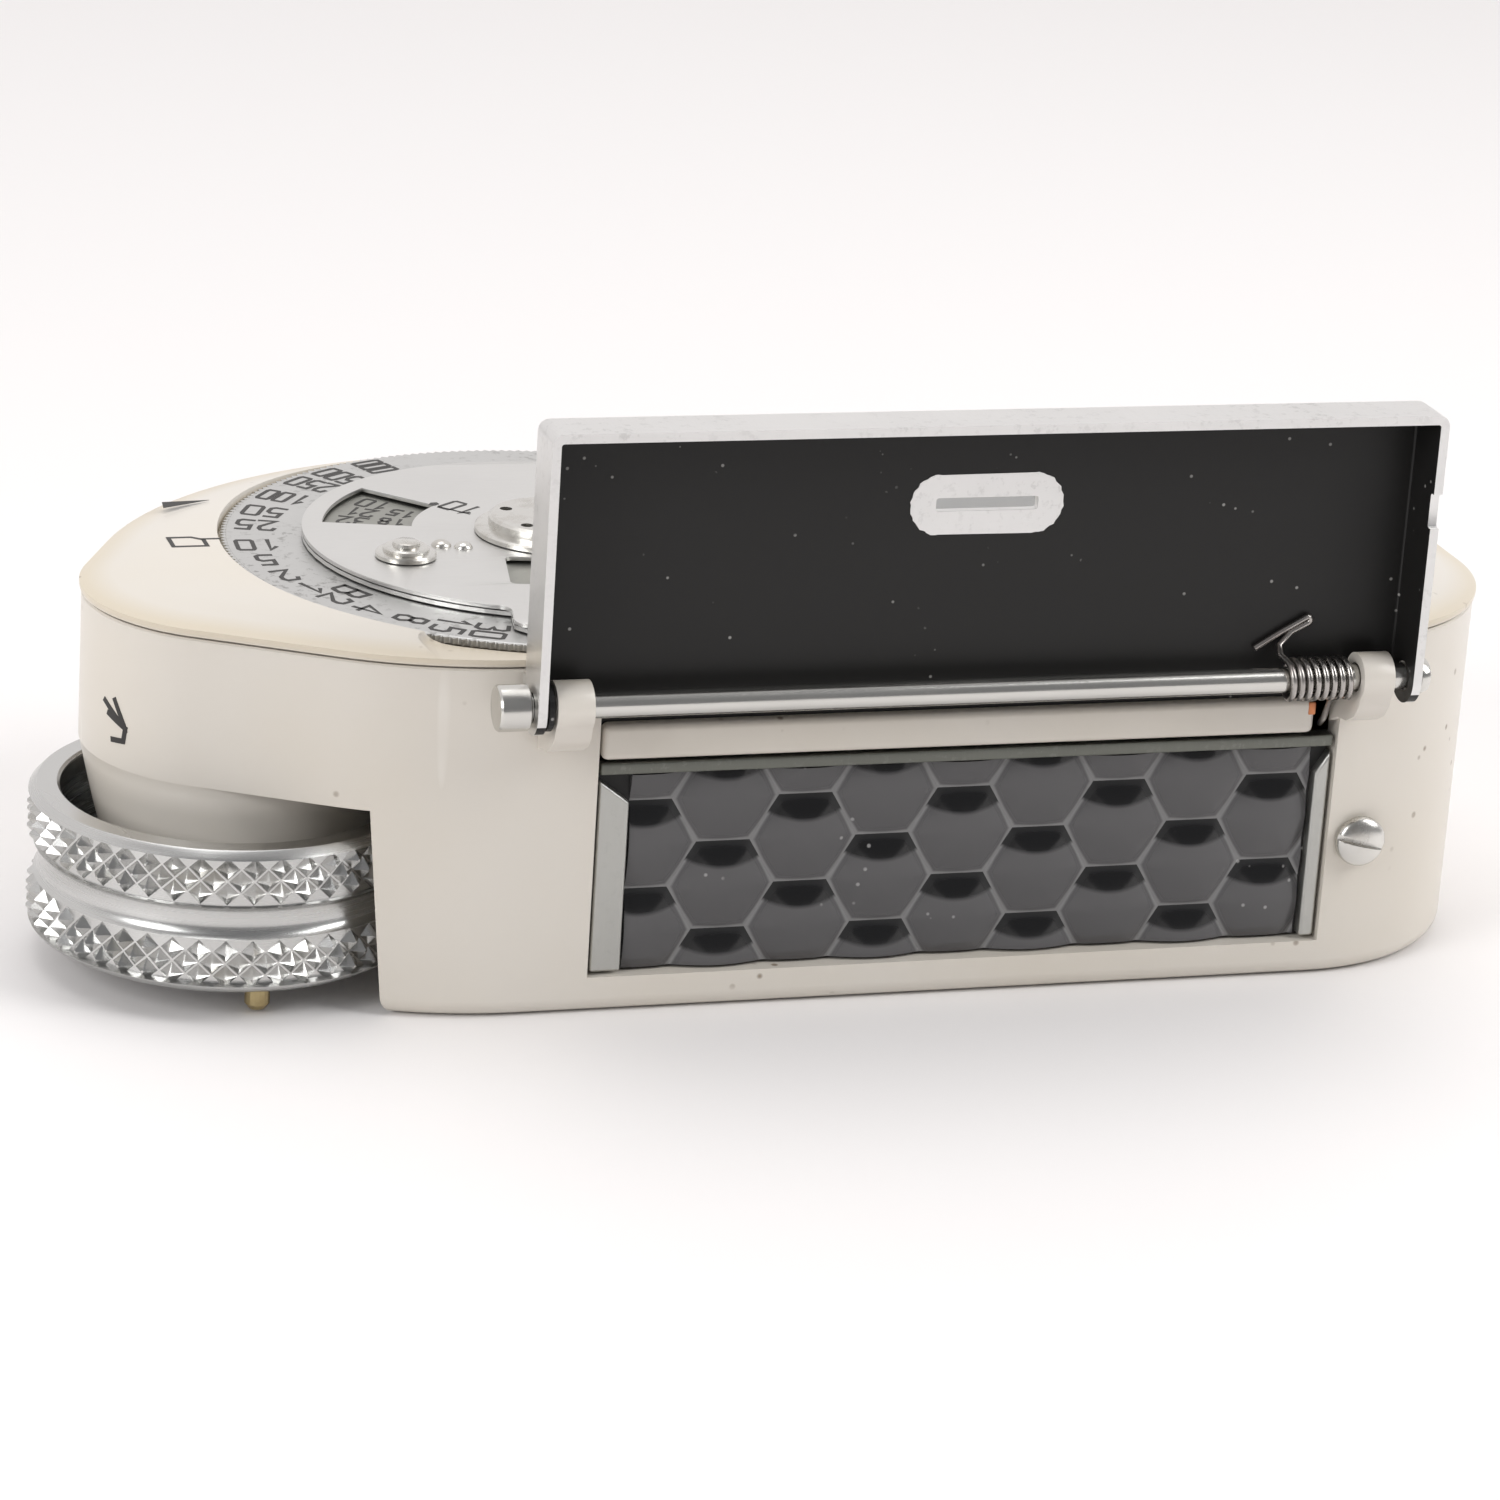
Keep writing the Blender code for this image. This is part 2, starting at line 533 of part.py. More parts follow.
def catch_screw():
    dome = [(CATCH_R * math.sin(a), CATCH_PROUD - 0.45 * (1 - math.cos(a)) * 1.0)
            for a in (0, 0.5, 1.0, math.pi / 2)]
    profile = dome + [(CATCH_R, 0.1), (0.6, 0.1), (0.6, -WALL - 0.4), (0, -WALL - 0.4)]
    screw = turned("catch_screw", profile, (CATCH_X, FRONT, CATCH_Z), "steel", 24, "-Y")
    slot = box("catch_slot", (-2, -0.14, -0.4), (2, 0.14, 0.4))
    slot.location = Vector((CATCH_X, FRONT - CATCH_PROUD, CATCH_Z)) * MM
    slot.rotation_euler = (math.pi / 2, math.radians(17), 0)
    cut(screw, slot)


# ================================================================ lid
def lid():
    axis = Vector((0, ROD_Y, ROD_Z))
    rim = ROD_OUT + LID_FACE - LID_RIM_GAP
    back = LID_FACE + LID_SHEET
    front = LID_FACE - rim
    bm = bmesh.new()
    bmesh.ops.create_cube(bm, size=1.0)
    size = Vector((EAR_R1 - EAR_L0, rim + LID_SHEET, LID_H))
    bmesh.ops.scale(bm, vec=size * MM, verts=bm.verts)
    bmesh.ops.translate(bm, vec=Vector(((EAR_L0 + EAR_R1) / 2, (front + back) / 2, LID_H / 2)) * MM, verts=bm.verts)
    rounded = [e for e in bm.edges if sum(v.co.y > 0 for v in e.verts) and max(v.co.z for v in e.verts) > 0.001
               and not (min(v.co.y for v in e.verts) > 0 and max(v.co.z for v in e.verts) < 0.001)]
    rounded = [e for e in rounded if e.calc_length() > 0.001]
    bmesh.ops.bevel(bm, geom=rounded, offset=LID_ROUND * MM, segments=2, profile=0.5, affect="EDGES")
    shell = place("lid", mesh_from(bm, "lid"), axis, "silver_satin")
    y, z = ROD_Y, ROD_Z
    cut(shell, box("lid_hollow", (EAR_L1, y + front - 1, z - 2), (EAR_R0, y + LID_FACE, z + LID_H - LID_SHEET)))
    join(shell, box("lid_tail", (EAR_L1 - 0.1, y + LID_FACE, z - LID_TAIL), (EAR_R0 + 0.1, y + back, z + 1)))
    for side, x in (("left", EAR_L0), ("right", EAR_R0)):
        x += EAR_INSET
        thick = LID_SHEET - 2 * EAR_INSET
        join(shell, rod("ear_" + side, EAR_R, (x, y, z), thick, "X", segments=32),
             box("ear_heel_" + side, (x, y - 0.3, z - LID_TAIL), (x + thick, y + back - 0.1, z + 1)))
    cut(shell, rod("ear_bore", ROD_R + RUN, (EAR_L0 - 1, y, z), EAR_R1 - EAR_L0 + 2, "X"))
    middle = (EAR_L0 + EAR_R1) / 2
    cut(shell, box("lid_slot", (middle - SLOT_W / 2, y, z + SLOT_Z - SLOT_H / 2),
                   (middle + SLOT_W / 2, y + 4, z + SLOT_Z + SLOT_H / 2)))
    catch = z + (ROD_Z - CATCH_Z)
    cut(shell, box("catch_notch", (EAR_R0 - 1.3, y + front - 1, catch - CATCH_R - 0.25),
                   (EAR_R1 + 1, y + front + CATCH_PROUD, catch + CATCH_R + 0.25)))


def hinge():
    end = EAR_R1 + FIT
    head = EAR_L0 - FIT
    length = end - head
    turned("hinge_rod", ((0, length + 0.6), (0.6, length + 0.6), (0.85, length + 0.35), (0.85, length),
                         (ROD_R, length), (ROD_R, 0), (ROD_HEAD_R, 0), (ROD_HEAD_R, 0.15 - ROD_HEAD_L),
                         (ROD_HEAD_R - 0.15, -ROD_HEAD_L), (0, -ROD_HEAD_L)), (head, ROD_Y, ROD_Z), "steel", 20, "X")
    gap = EAR_GAP / 2
    washer = rod("hinge_washer", LUG_R - 0.05, (LUG_L0 - gap - 0.12, ROD_Y, ROD_Z), 0.24, "X", "black_paint", 24)
    cut(washer, rod("washer_hole", ROD_R + RUN, (LUG_L0 - 2, ROD_Y, ROD_Z), 4, "X"))
    start = LUG_R0 - 3.3
    wire_r = 0.14
    radius = ROD_R + RUN + 0.05 + wire_r
    turns = coil(radius, 0.38, 7.5, start=math.pi / 2)
    arm = LID_FACE - wire_r - 0.1
    hairpin = [(-1.2, arm, 1.5), (0.3, arm, 2.1), (1.6, arm, 2.75), (1.75, arm, 2.6), (0.6, arm - 0.1, 1.9),
               (-0.15, 0.5, 1.2)]
    wire("lid_spring", hairpin + turns, wire_r, (start, ROD_Y, ROD_Z), "steel")


# ================================================================ coupling wheel
def coupling_wheel():
    z0, top = WHEEL_Z0, WHEEL_Z0 + WHEEL_H
    floor = WHEEL_FLOOR_Z
    groove = 0.6
    half = WHEEL_H / 2
    profile = [(WHEEL_INNER_R + 0.14, top), (WHEEL_R - 0.35, top), (WHEEL_R, top - 0.35)]
    profile += [(WHEEL_R, z0 + half + 0.87), (WHEEL_R - groove * 0.75, z0 + half + 0.55), (WHEEL_R - groove, z0 + half),
                (WHEEL_R - groove * 0.75, z0 + half - 0.55), (WHEEL_R, z0 + half - 0.87)]
    profile += [(WHEEL_R, z0 + 0.46), (WHEEL_R - 0.75, z0), (2.4, z0), (2.4, z0 + 0.5), (SHAFT_R + 0.1, z0 + 0.5),
                (SHAFT_R + 0.1, floor), (WHEEL_INNER_R, floor), (WHEEL_INNER_R, top - 0.14)]
    wheel = turned("coupling_wheel", profile, (WHEEL_X, WHEEL_Y, 0), "aluminium", 48)
    angle = math.radians(PIN_ANGLE)
    pin_x = WHEEL_X + PIN_OFFSET * math.cos(angle)
    pin_y = WHEEL_Y + PIN_OFFSET * math.sin(angle)
    cut(wheel, rod("pin_hole", PIN_R + 0.1, (pin_x, pin_y, 0), 5, segments=16))
    turned("coupling_pin", ((0, floor - 0.05), (PIN_R, floor - 0.05), (PIN_R, PIN_TIP_Z + 0.25),
                            (PIN_R - 0.2, PIN_TIP_Z), (0, PIN_TIP_Z)), (pin_x, pin_y, 0), "brass", 16)
    shaft_top = GEAR_Z + GEAR_T + 0.2
    turned("wheel_shaft", ((0.0, shaft_top), (SHAFT_R, shaft_top), (SHAFT_R, z0 + 0.6), (0.7, z0 + 0.6), (0.7, 5.0),
                           (0.0, 5.0)), (WHEEL_X, WHEEL_Y, 0), "steel", 20)
    turned("wheel_screw", ((0, 4.6), (0.55, 4.6), (0.55, z0 + 0.4), (2.1, z0 + 0.4), (2.1, z0 + 0.05), (0, z0 + 0.05)),
           (WHEEL_X, WHEEL_Y, 0), "steel", 20)
    bore = SHAFT_R + RUN
    turned("wheel_bush", ((bore, CHASSIS_Z - 0.1), (BUSH_R, CHASSIS_Z - 0.1), (BUSH_R, NECK_Z0 + 0.1),
                          (bore, NECK_Z0 + 0.1)), (WHEEL_X, WHEEL_Y, 0), "brass", 24)
    collar_top = floor + 0.55
    turned("lift_collar", ((SHAFT_R + 0.1, collar_top), (3.4, collar_top), (3.4, floor + 0.15),
                           (SHAFT_R + 0.1, floor + 0.15)), (WHEEL_X, WHEEL_Y, 0), "brass", 24)
    spring_z0 = collar_top + SPRING_WIRE + 0.08
    height = NECK_Z0 - SPRING_WIRE - 0.1 - spring_z0
    turns = [(y, z, x) for x, y, z in coil(2.9, height / 3.5, 3.5, per_turn=14)]
    wire("lift_spring", turns, SPRING_WIRE, (WHEEL_X, WHEEL_Y, spring_z0), "steel")
    flat("wheel_pinion", [gear_outline(WHEEL_TEETH, wheel_phase(), TOOTH_SLIM), circle(SHAFT_R + 0.1, 20)],
         GEAR_Z - WHEEL_LIFT - 0.25, GEAR_Z + GEAR_T + 0.2, (WHEEL_X, WHEEL_Y), "brass")


# ================================================================ dial stack
def chassis():
    plate = prism("chassis_plate", WALL + AIR, CHASSIS_Z, CHASSIS_Z + CHASSIS_T, "brass")
    cell_back = FRONT + CELL_SETBACK + 2 * CELL_T + 2.0
    cut(plate, box("cell_room", (WINDOW_X0 - 2, FRONT - 1, 0), (WINDOW_X1 + 2, cell_back, 20)))
    cut(plate, rod("movement_room", MAGNET_R + 2.2, (MOVE_X, MOVE_Y, 5), 10))
    cut(plate, rod("shaft_room", BUSH_R + AIR, (WHEEL_X, WHEEL_Y, 5), 10))
    cut(plate, rod("stud_seat", STUD_R + 0.1, (0, 0, 5), 10, segments=20))
    return plate


def dial_stack():
    stud_top = DIAL_TOP + 0.9
    turned("dial_stud", ((0, stud_top), (STUD_R, stud_top), (STUD_R, CHASSIS_Z - 0.15), (3.4, CHASSIS_Z - 0.15),
                         (3.4, CHASSIS_Z - 0.7), (0, CHASSIS_Z - 0.7)), (0, 0, 0), "steel", 20)
    bore = STUD_R + RUN
    turned("dial_hub", ((bore, DIAL_Z - 0.06), (HUB_R, DIAL_Z - 0.06), (HUB_R, GEAR_Z - 0.1), (HUB_R + 1.6, GEAR_Z - 0.1),
                        (HUB_R + 1.6, GEAR_Z - 0.6), (bore, GEAR_Z - 0.6)), (0, 0, 0), "brass", 24)
    flat("dial_gear", [gear_outline(DIAL_TEETH, IDLER_ANGLE, TOOTH_SLIM), circle(HUB_R + 0.1, 24)], GEAR_Z,
         GEAR_Z + GEAR_T, finish="brass")
    plate_top = CHASSIS_Z + CHASSIS_T + 0.1
    turned("idler_post", ((0, GEAR_Z + GEAR_T + 0.4), (0.8, GEAR_Z + GEAR_T + 0.4), (0.8, plate_top + 0.8),
                          (1.8, plate_top + 0.8), (1.8, plate_top), (0, plate_top)), (IDLER_X, IDLER_Y, 0), "steel", 16)
    flat("idler_gear", [gear_outline(IDLER_TEETH, idler_phase(), TOOTH_SLIM), circle(0.8 + RUN, 16)], GEAR_Z,
         GEAR_Z + GEAR_T, (IDLER_X, IDLER_Y), "brass")
    flat("dial_ring", [circle(DIAL_R, 72), circle(STUD_R + 0.2, 20)], DIAL_Z, DIAL_TOP, finish="silver_satin")
    low = DIAL_TOP + 0.06
    flat("film_disc", [circle(FILM_DISC_R, 40), circle(STUD_R + 0.2, 20)], low, low + 0.12, finish="silver_satin")
    flat("film_spacer", [tab_outline(), circle(FILM_DISC_R + FIT, 40)], low, low + LAYER_T, finish="silver_satin")
    high = low + LAYER_T + 0.06
    flat("film_plate", [circle(FILM_R, 60), circle(STUD_R + 0.2, 20), fan_window(), slot_window()],
         high, high + LAYER_T, finish="silver_satin")
    z = high + LAYER_T + 0.05
    turned("plate_rivet", ((0, z + 0.7), (0.55, z + 0.7), (0.6, z + 0.5), (1.0, z + 0.45), (1.05, z + 0.25),
                           (1.35, z + 0.2), (1.35, z), (0, z)), (RIVET_X, RIVET_Y, 0), "silver_satin", 20)
    nut = turned("hub_nut", ((0, z + 1.1), (NUT_R - 0.1, z + 1.1), (NUT_R, z + 1.0), (NUT_R, z + 0.3),
                             (NUT_FLANGE_R, z + 0.22), (NUT_FLANGE_R, z), (NUT_BORE, z), (NUT_BORE, z + 0.5),
                             (0, z + 0.5)), (0, 0, 0), "silver_satin", 32)
    for i, degrees in enumerate(SPANNER_ANGLES):
        x, y = SPANNER_OFFSET * math.cos(math.radians(degrees)), SPANNER_OFFSET * math.sin(math.radians(degrees))
        cut(nut, rod(f"spanner_hole_{i}", 0.28, (x, y, z + 0.75), 2, segments=12))


def tab_outline():
    """The lower film layer: a ring edge with a finger tab."""
    half = math.degrees(math.asin(TAB_W / 2 / FILM_R))
    ring = arc(0, 0, FILM_R, TAB_ANGLE + half, TAB_ANGLE + 360 - half, 56)
    a = math.radians(TAB_ANGLE)
    out, side = Vector((math.cos(a), math.sin(a))), Vector((-math.sin(a), math.cos(a)))
    corner = 0.6
    ends = ((-TAB_W / 2, TAB_REACH - corner), (-TAB_W / 2 + corner, TAB_REACH), (TAB_W / 2 - corner, TAB_REACH),
            (TAB_W / 2, TAB_REACH - corner))
    return ring + [tuple(out * r + side * s) for s, r in ends]


def fan_window():
    """The curved window that shows the film-speed numbers."""
    return arc(0, 0, 10.2, 133, 166, 8) + arc(0, 0, 6.2, 166, 133, 6)


def slot_window():
    """The small oblong window that points at the tab."""
    a = math.radians(TAB_ANGLE)
    out, side = Vector((math.cos(a), math.sin(a))), Vector((-math.sin(a), math.cos(a)))
    ends = ((SLOT_NEAR, -SLOT_HALF), (SLOT_NEAR, SLOT_HALF), (SLOT_FAR, SLOT_HALF), (SLOT_FAR, -SLOT_HALF))
    return [tuple(out * r + side * s) for r, s in ends]


# ================================================================ movement
def movement():
    at = (MOVE_X, MOVE_Y)
    magnet = turned("movement_magnet", ((MAGNET_IN, COIL_Z1 - 0.4), (MAGNET_R, COIL_Z1 - 0.4), (MAGNET_R, COIL_Z0 + 0.4),
                                        (MAGNET_IN, COIL_Z0 + 0.4)), (*at, 0), "magnet", 32)
    cut(magnet, box("magnet_gap", (MOVE_X - 1.5, MOVE_Y - MAGNET_R - 1, 0), (MOVE_X + 1.5, MOVE_Y, 20)))
    rod("pole_core", CORE_R, (*at, COIL_Z0 + 0.6), COIL_Z1 - COIL_Z0 - 1.2, finish="steel", segments=24)
    side = MAGNET_R + 0.35
    bridge = NEEDLE_Z + 0.7
    low = COIL_Z0 - 0.6
    frame = box("movement_frame", (MOVE_X - side - 0.8, MOVE_Y - 1.2, low), (MOVE_X + side + 0.8, MOVE_Y + 1.2, bridge + 0.5),
                "brass")
    cut(frame, box("frame_room", (MOVE_X - side, MOVE_Y - 3, low + 0.45), (MOVE_X + side, MOVE_Y + 3, bridge)))
    for i, z in enumerate((low - 1, bridge - 1)):
        cut(frame, rod(f"jewel_seat_{i}", 0.65, (*at, z), 3, segments=16))
    rod("jewel_screw_bottom", 0.55, (*at, low - 0.05), 0.5, finish="steel", segments=16)
    rod("jewel_screw_top", 0.55, (*at, bridge - 0.1), 1.1, finish="steel", segments=16)
    winding = box("moving_coil", (MOVE_X - 3.9, MOVE_Y - 0.6, COIL_Z0), (MOVE_X + 3.9, MOVE_Y + 0.6, COIL_Z1), "copper",
                  pivot=(*at, COIL_Z0))
    room = box("coil_room", (MOVE_X - 3.3, MOVE_Y - 2, COIL_Z0 + 0.3), (MOVE_X + 3.3, MOVE_Y + 2, COIL_Z1 - 0.3),
               pivot=(*at, COIL_Z0))
    for turned_piece in (winding, room):
        turned_piece.rotation_euler = (0, 0, math.radians(NEEDLE_REST))
    cut(winding, room)
    rod("needle_staff", 0.3, (*at, COIL_Z1 + 0.05), bridge - COIL_Z1 - 0.25, finish="steel", segments=12)
    bar = [(-0.25, -3.0), (0.25, -3.0), (0.25, -0.7)] + arc(0, 0, 0.75, -60, 70, 6)
    bar += [(0.1, NEEDLE_L), (-0.1, NEEDLE_L)] + arc(0, 0, 0.75, 110, 240, 6) + [(-0.25, -0.7)]
    needle = flat("needle", [bar, circle(0.4, 12)], NEEDLE_Z, NEEDLE_Z + 0.15, at, "black_paint")
    needle.rotation_euler = (0, 0, math.radians(NEEDLE_REST))
    back = math.radians(NEEDLE_REST - 90)
    rod("counterweight", 0.5, (MOVE_X + 2.6 * math.cos(back), MOVE_Y + 2.6 * math.sin(back), NEEDLE_Z - 0.55), 0.5,
        finish="brass", segments=12)
    spiral = []
    for i in range(55):
        a = 2 * math.pi * i / 18
        r = 0.75 + 0.45 * i / 18
        spiral.append((r * math.cos(a), r * math.sin(a), 0))
    wire("hairspring", spiral, 0.05, (*at, COIL_Z1 + 0.9), "brass", sides=0)
    scale_z = NEEDLE_Z - 0.8
    box("scale_plate", (PANE_X0 - 1, PANE_Y0 - 1.2, scale_z - 0.3), (PANE_X1 + 1, PANE_Y1 + 1, scale_z), "white_paint")
    box("window_glass", (PANE_X0 + FIT, PANE_Y0 + FIT, CEILING + 0.1), (PANE_X1 - FIT, PANE_Y1 - FIT, COVER_TOP - 0.2),
        "clear_glass", bevel=0.15)


lower_housing()
top_cover()
base_plate()
underside()
window()
catch_screw()
lid()
hinge()
coupling_wheel()
chassis()
dial_stack()
movement()
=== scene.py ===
import math
import bmesh
import bpy
from mathutils import Matrix, Vector


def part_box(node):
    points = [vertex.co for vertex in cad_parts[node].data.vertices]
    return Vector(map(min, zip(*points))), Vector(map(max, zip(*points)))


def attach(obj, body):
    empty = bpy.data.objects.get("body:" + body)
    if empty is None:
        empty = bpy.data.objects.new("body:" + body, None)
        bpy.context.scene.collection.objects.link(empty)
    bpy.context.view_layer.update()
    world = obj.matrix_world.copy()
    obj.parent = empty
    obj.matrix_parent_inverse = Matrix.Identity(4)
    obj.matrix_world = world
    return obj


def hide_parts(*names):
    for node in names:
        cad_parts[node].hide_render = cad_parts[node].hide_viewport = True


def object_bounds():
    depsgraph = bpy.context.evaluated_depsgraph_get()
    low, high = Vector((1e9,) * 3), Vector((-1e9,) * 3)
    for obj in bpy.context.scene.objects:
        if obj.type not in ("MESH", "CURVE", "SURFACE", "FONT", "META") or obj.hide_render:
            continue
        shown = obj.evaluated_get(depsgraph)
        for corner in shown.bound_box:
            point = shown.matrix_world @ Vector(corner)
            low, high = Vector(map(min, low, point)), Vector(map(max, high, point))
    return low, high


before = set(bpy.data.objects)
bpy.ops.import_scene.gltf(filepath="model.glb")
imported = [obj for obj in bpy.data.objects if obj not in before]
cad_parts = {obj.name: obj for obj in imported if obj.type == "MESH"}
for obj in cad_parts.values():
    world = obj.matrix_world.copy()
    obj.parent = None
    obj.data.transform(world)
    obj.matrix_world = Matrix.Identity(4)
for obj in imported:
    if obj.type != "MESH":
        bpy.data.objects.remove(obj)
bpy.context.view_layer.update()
mm = 0.001

# ---- where the metalwork is, read from the frame
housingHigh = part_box("lower_housing")[1]
ringLow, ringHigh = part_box("dial_ring")
wheelLow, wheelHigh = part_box("coupling_wheel")
lidLow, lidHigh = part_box("lid")
rodLow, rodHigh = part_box("hinge_rod")
frameLow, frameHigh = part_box("lens_frame")
lensLow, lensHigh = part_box("honeycomb_lens")
plateLow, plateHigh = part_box("film_plate")
nutLow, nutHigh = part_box("hub_nut")
paneLow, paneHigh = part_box("window_glass")
front = -housingHigh.y / mm
rodY, rodZ = (rodLow.y + rodHigh.y) / 2 / mm, (rodLow.z + rodHigh.z) / 2 / mm
wheelX, wheelY = (wheelLow.x + wheelHigh.x) / 2 / mm, (wheelLow.y + wheelHigh.y) / 2 / mm


# ---- shader maths
class Val:
    def __init__(self, tree, socket):
        self.tree, self.socket = tree, socket

    def maths(self, operation, other=None, third=None):
        values = {0: self}
        if other is not None:
            values[1] = other
        if third is not None:
            values[2] = third
        return add(self.tree, "ShaderNodeMath", {"operation": operation}, values)

    def __add__(self, other):
        return self.maths("ADD", other)

    def __mul__(self, other):
        return self.maths("MULTIPLY", other)

    def __sub__(self, other):
        return self.maths("SUBTRACT", other)

    def __rsub__(self, other):
        return add(self.tree, "ShaderNodeMath", {"operation": "SUBTRACT"}, {0: other, 1: self})

    __radd__ = __add__
    __rmul__ = __mul__

    def above(self, edge, soft=0.02):
        return add(self.tree, "ShaderNodeMapRange", {}, {0: self, 1: edge - soft, 2: edge + soft})

    def power(self, exponent):
        return self.maths("POWER", exponent)


def add(tree, kind, settings=None, values=None, out=0):
    node = tree.nodes.new(kind)
    for key, value in (settings or {}).items():
        if key == "stops":
            ramp = node.color_ramp
            while len(ramp.elements) < len(value):
                ramp.elements.new(0.5)
            for element, (place, colour) in zip(ramp.elements, value):
                element.position, element.color = place, (*colour, 1.0)
        else:
            setattr(node, key, value)
    for key, value in (values or {}).items():
        if isinstance(value, Val):
            tree.links.new(value.socket, node.inputs[key])
        else:
            node.inputs[key].default_value = value
    return Val(tree, node.outputs[out])


def blendColour(tree, mask, first, second):
    node = tree.nodes.new("ShaderNodeMix")
    node.data_type = "RGBA"
    for index, value in ((0, mask), (6, first), (7, second)):
        if isinstance(value, Val):
            tree.links.new(value.socket, node.inputs[index])
        else:
            node.inputs[index].default_value = (*value, 1.0) if isinstance(value, tuple) else value
    return Val(tree, node.outputs[2])


def newMaterial(name, colour, roughness, metallic=0.0, coat=0.0):
    made = bpy.data.materials.new(name)
    made.use_nodes = True
    shader = made.node_tree.nodes["Principled BSDF"]
    shader.inputs["Base Color"].default_value = (*colour, 1.0)
    shader.inputs["Roughness"].default_value = roughness
    shader.inputs["Metallic"].default_value = metallic
    shader.inputs["Coat Weight"].default_value = coat
    return made, made.node_tree, shader


def place(tree, scale=(1, 1, 1), shift=(0, 0, 0), turn=(0, 0, 0)):
    coords = add(tree, "ShaderNodeTexCoord", out=3)
    return add(tree, "ShaderNodeMapping", {}, {0: coords, 1: shift, 2: turn, 3: scale})


def noise(tree, where, scale, detail=3.0, rough=0.5):
    return add(tree, "ShaderNodeTexNoise", {},
               {0: where, "Scale": scale, "Detail": detail, "Roughness": rough})


def feed(tree, shader, name, value):
    tree.links.new(value.socket, shader.inputs[name])


def bump(tree, shader, height, strength, distance):
    normal = add(tree, "ShaderNodeBump", {},
                 {"Strength": strength, "Distance": distance * mm, "Height": height})
    feed(tree, shader, "Normal", normal)


enamelLook = {"cream": (0.67, 0.63, 0.57), "aged": (0.60, 0.51, 0.36), "chip": (0.16, 0.10, 0.05),
              "rough": 0.34, "speckScale": 900.0, "scratchScale": 260.0}


def enamelMaterial():
    made, tree, shader = newMaterial("creamEnamel", enamelLook["cream"], enamelLook["rough"], 0.0, 0.15)
    where = place(tree)
    cloud = noise(tree, where, 70.0, 4.0)
    height = add(tree, "ShaderNodeSeparateXYZ", {}, {0: where}, out=2) * 1000.0
    edge = height.above(16.05, 0.12) * (1.0 - height.above(16.55, 0.12))
    aged = blendColour(tree, cloud.above(0.62, 0.2) * 0.25 + edge * 0.55, enamelLook["cream"],
                       enamelLook["aged"])
    cells = add(tree, "ShaderNodeTexVoronoi", {}, {0: where, "Scale": enamelLook["speckScale"]})
    patches = noise(tree, where, 160.0, 2.0).above(0.60, 0.03)
    specks = (1.0 - cells.above(0.13, 0.04)) * patches
    streak = noise(tree, place(tree, (1, 1, 0.12), turn=(0.2, 0.5, 0.3)), enamelLook["scratchScale"], 2.0)
    scratches = streak.above(0.71, 0.008) * noise(tree, where, 110.0, 1.0).above(0.55, 0.05)
    base = blendColour(tree, specks * 0.75, aged, enamelLook["chip"])
    feed(tree, shader, "Base Color", blendColour(tree, scratches * 0.5, base, (0.93, 0.91, 0.87)))
    feed(tree, shader, "Roughness", cloud * 0.16 + (enamelLook["rough"] - 0.07) + scratches * 0.2)
    bump(tree, shader, noise(tree, where, 420.0, 2.0) * 0.5 - specks * 0.8 - scratches * 0.4, 0.25, 0.03)
    return made


satinLook = {"light": (0.70, 0.695, 0.68), "dark": (0.30, 0.295, 0.285)}


def satinMaterial(name, pitted=0.0, stroke=(1, 14, 1), rough=0.36, light=None, turn=0.0):
    light = light or satinLook["light"]
    made, tree, shader = newMaterial(name, light, rough, 1.0)
    grain = noise(tree, place(tree, stroke, turn=(0, 0, turn)), 900.0, 4.0, 0.65)
    where = place(tree)
    cloud = noise(tree, where, 130.0, 5.0, 0.6)
    colour = blendColour(tree, cloud.above(0.55, 0.2) * 0.35, light, tuple(c * 0.82 for c in light))
    if pitted:
        pits = noise(tree, where, 2300.0, 3.0, 0.7).above(0.60, 0.05) * cloud.above(0.47, 0.12)
        colour = blendColour(tree, pits * pitted, colour, satinLook["dark"])
        height = grain * 0.4 - pits * 0.9
    else:
        height = grain * 0.6
    feed(tree, shader, "Base Color", colour)
    feed(tree, shader, "Roughness", grain * 0.22 + (rough - 0.11) + cloud * 0.05)
    bump(tree, shader, height, 0.25, 0.015)
    return made


def turnedMaterial(name, colour, rough, rings=5200.0):
    made, tree, shader = newMaterial(name, colour, rough, 1.0)
    lines = noise(tree, place(tree, (0.02, 0.02, 1.0)), rings, 3.0, 0.7)
    cloud = noise(tree, place(tree), 150.0, 3.0)
    feed(tree, shader, "Base Color", blendColour(tree, cloud * 0.5, colour, tuple(c * 0.8 for c in colour)))
    feed(tree, shader, "Roughness", lines * 0.2 + (rough - 0.1))
    bump(tree, shader, lines, 0.2, 0.01)
    return made


def metalMaterial(name, colour, rough, tarnish=(0.2, 0.15, 0.08), amount=0.4):
    made, tree, shader = newMaterial(name, colour, rough, 1.0)
    cloud = noise(tree, place(tree), 500.0, 5.0, 0.65)
    mask = cloud.above(0.6, 0.12) * amount
    feed(tree, shader, "Base Color", blendColour(tree, mask, colour, tarnish))
    feed(tree, shader, "Roughness", cloud * 0.25 + (rough - 0.12))
    bump(tree, shader, cloud, 0.12, 0.01)
    return made


blackLook = {"colour": (0.012, 0.0115, 0.011), "rough": 0.42, "dust": (0.45, 0.44, 0.42)}


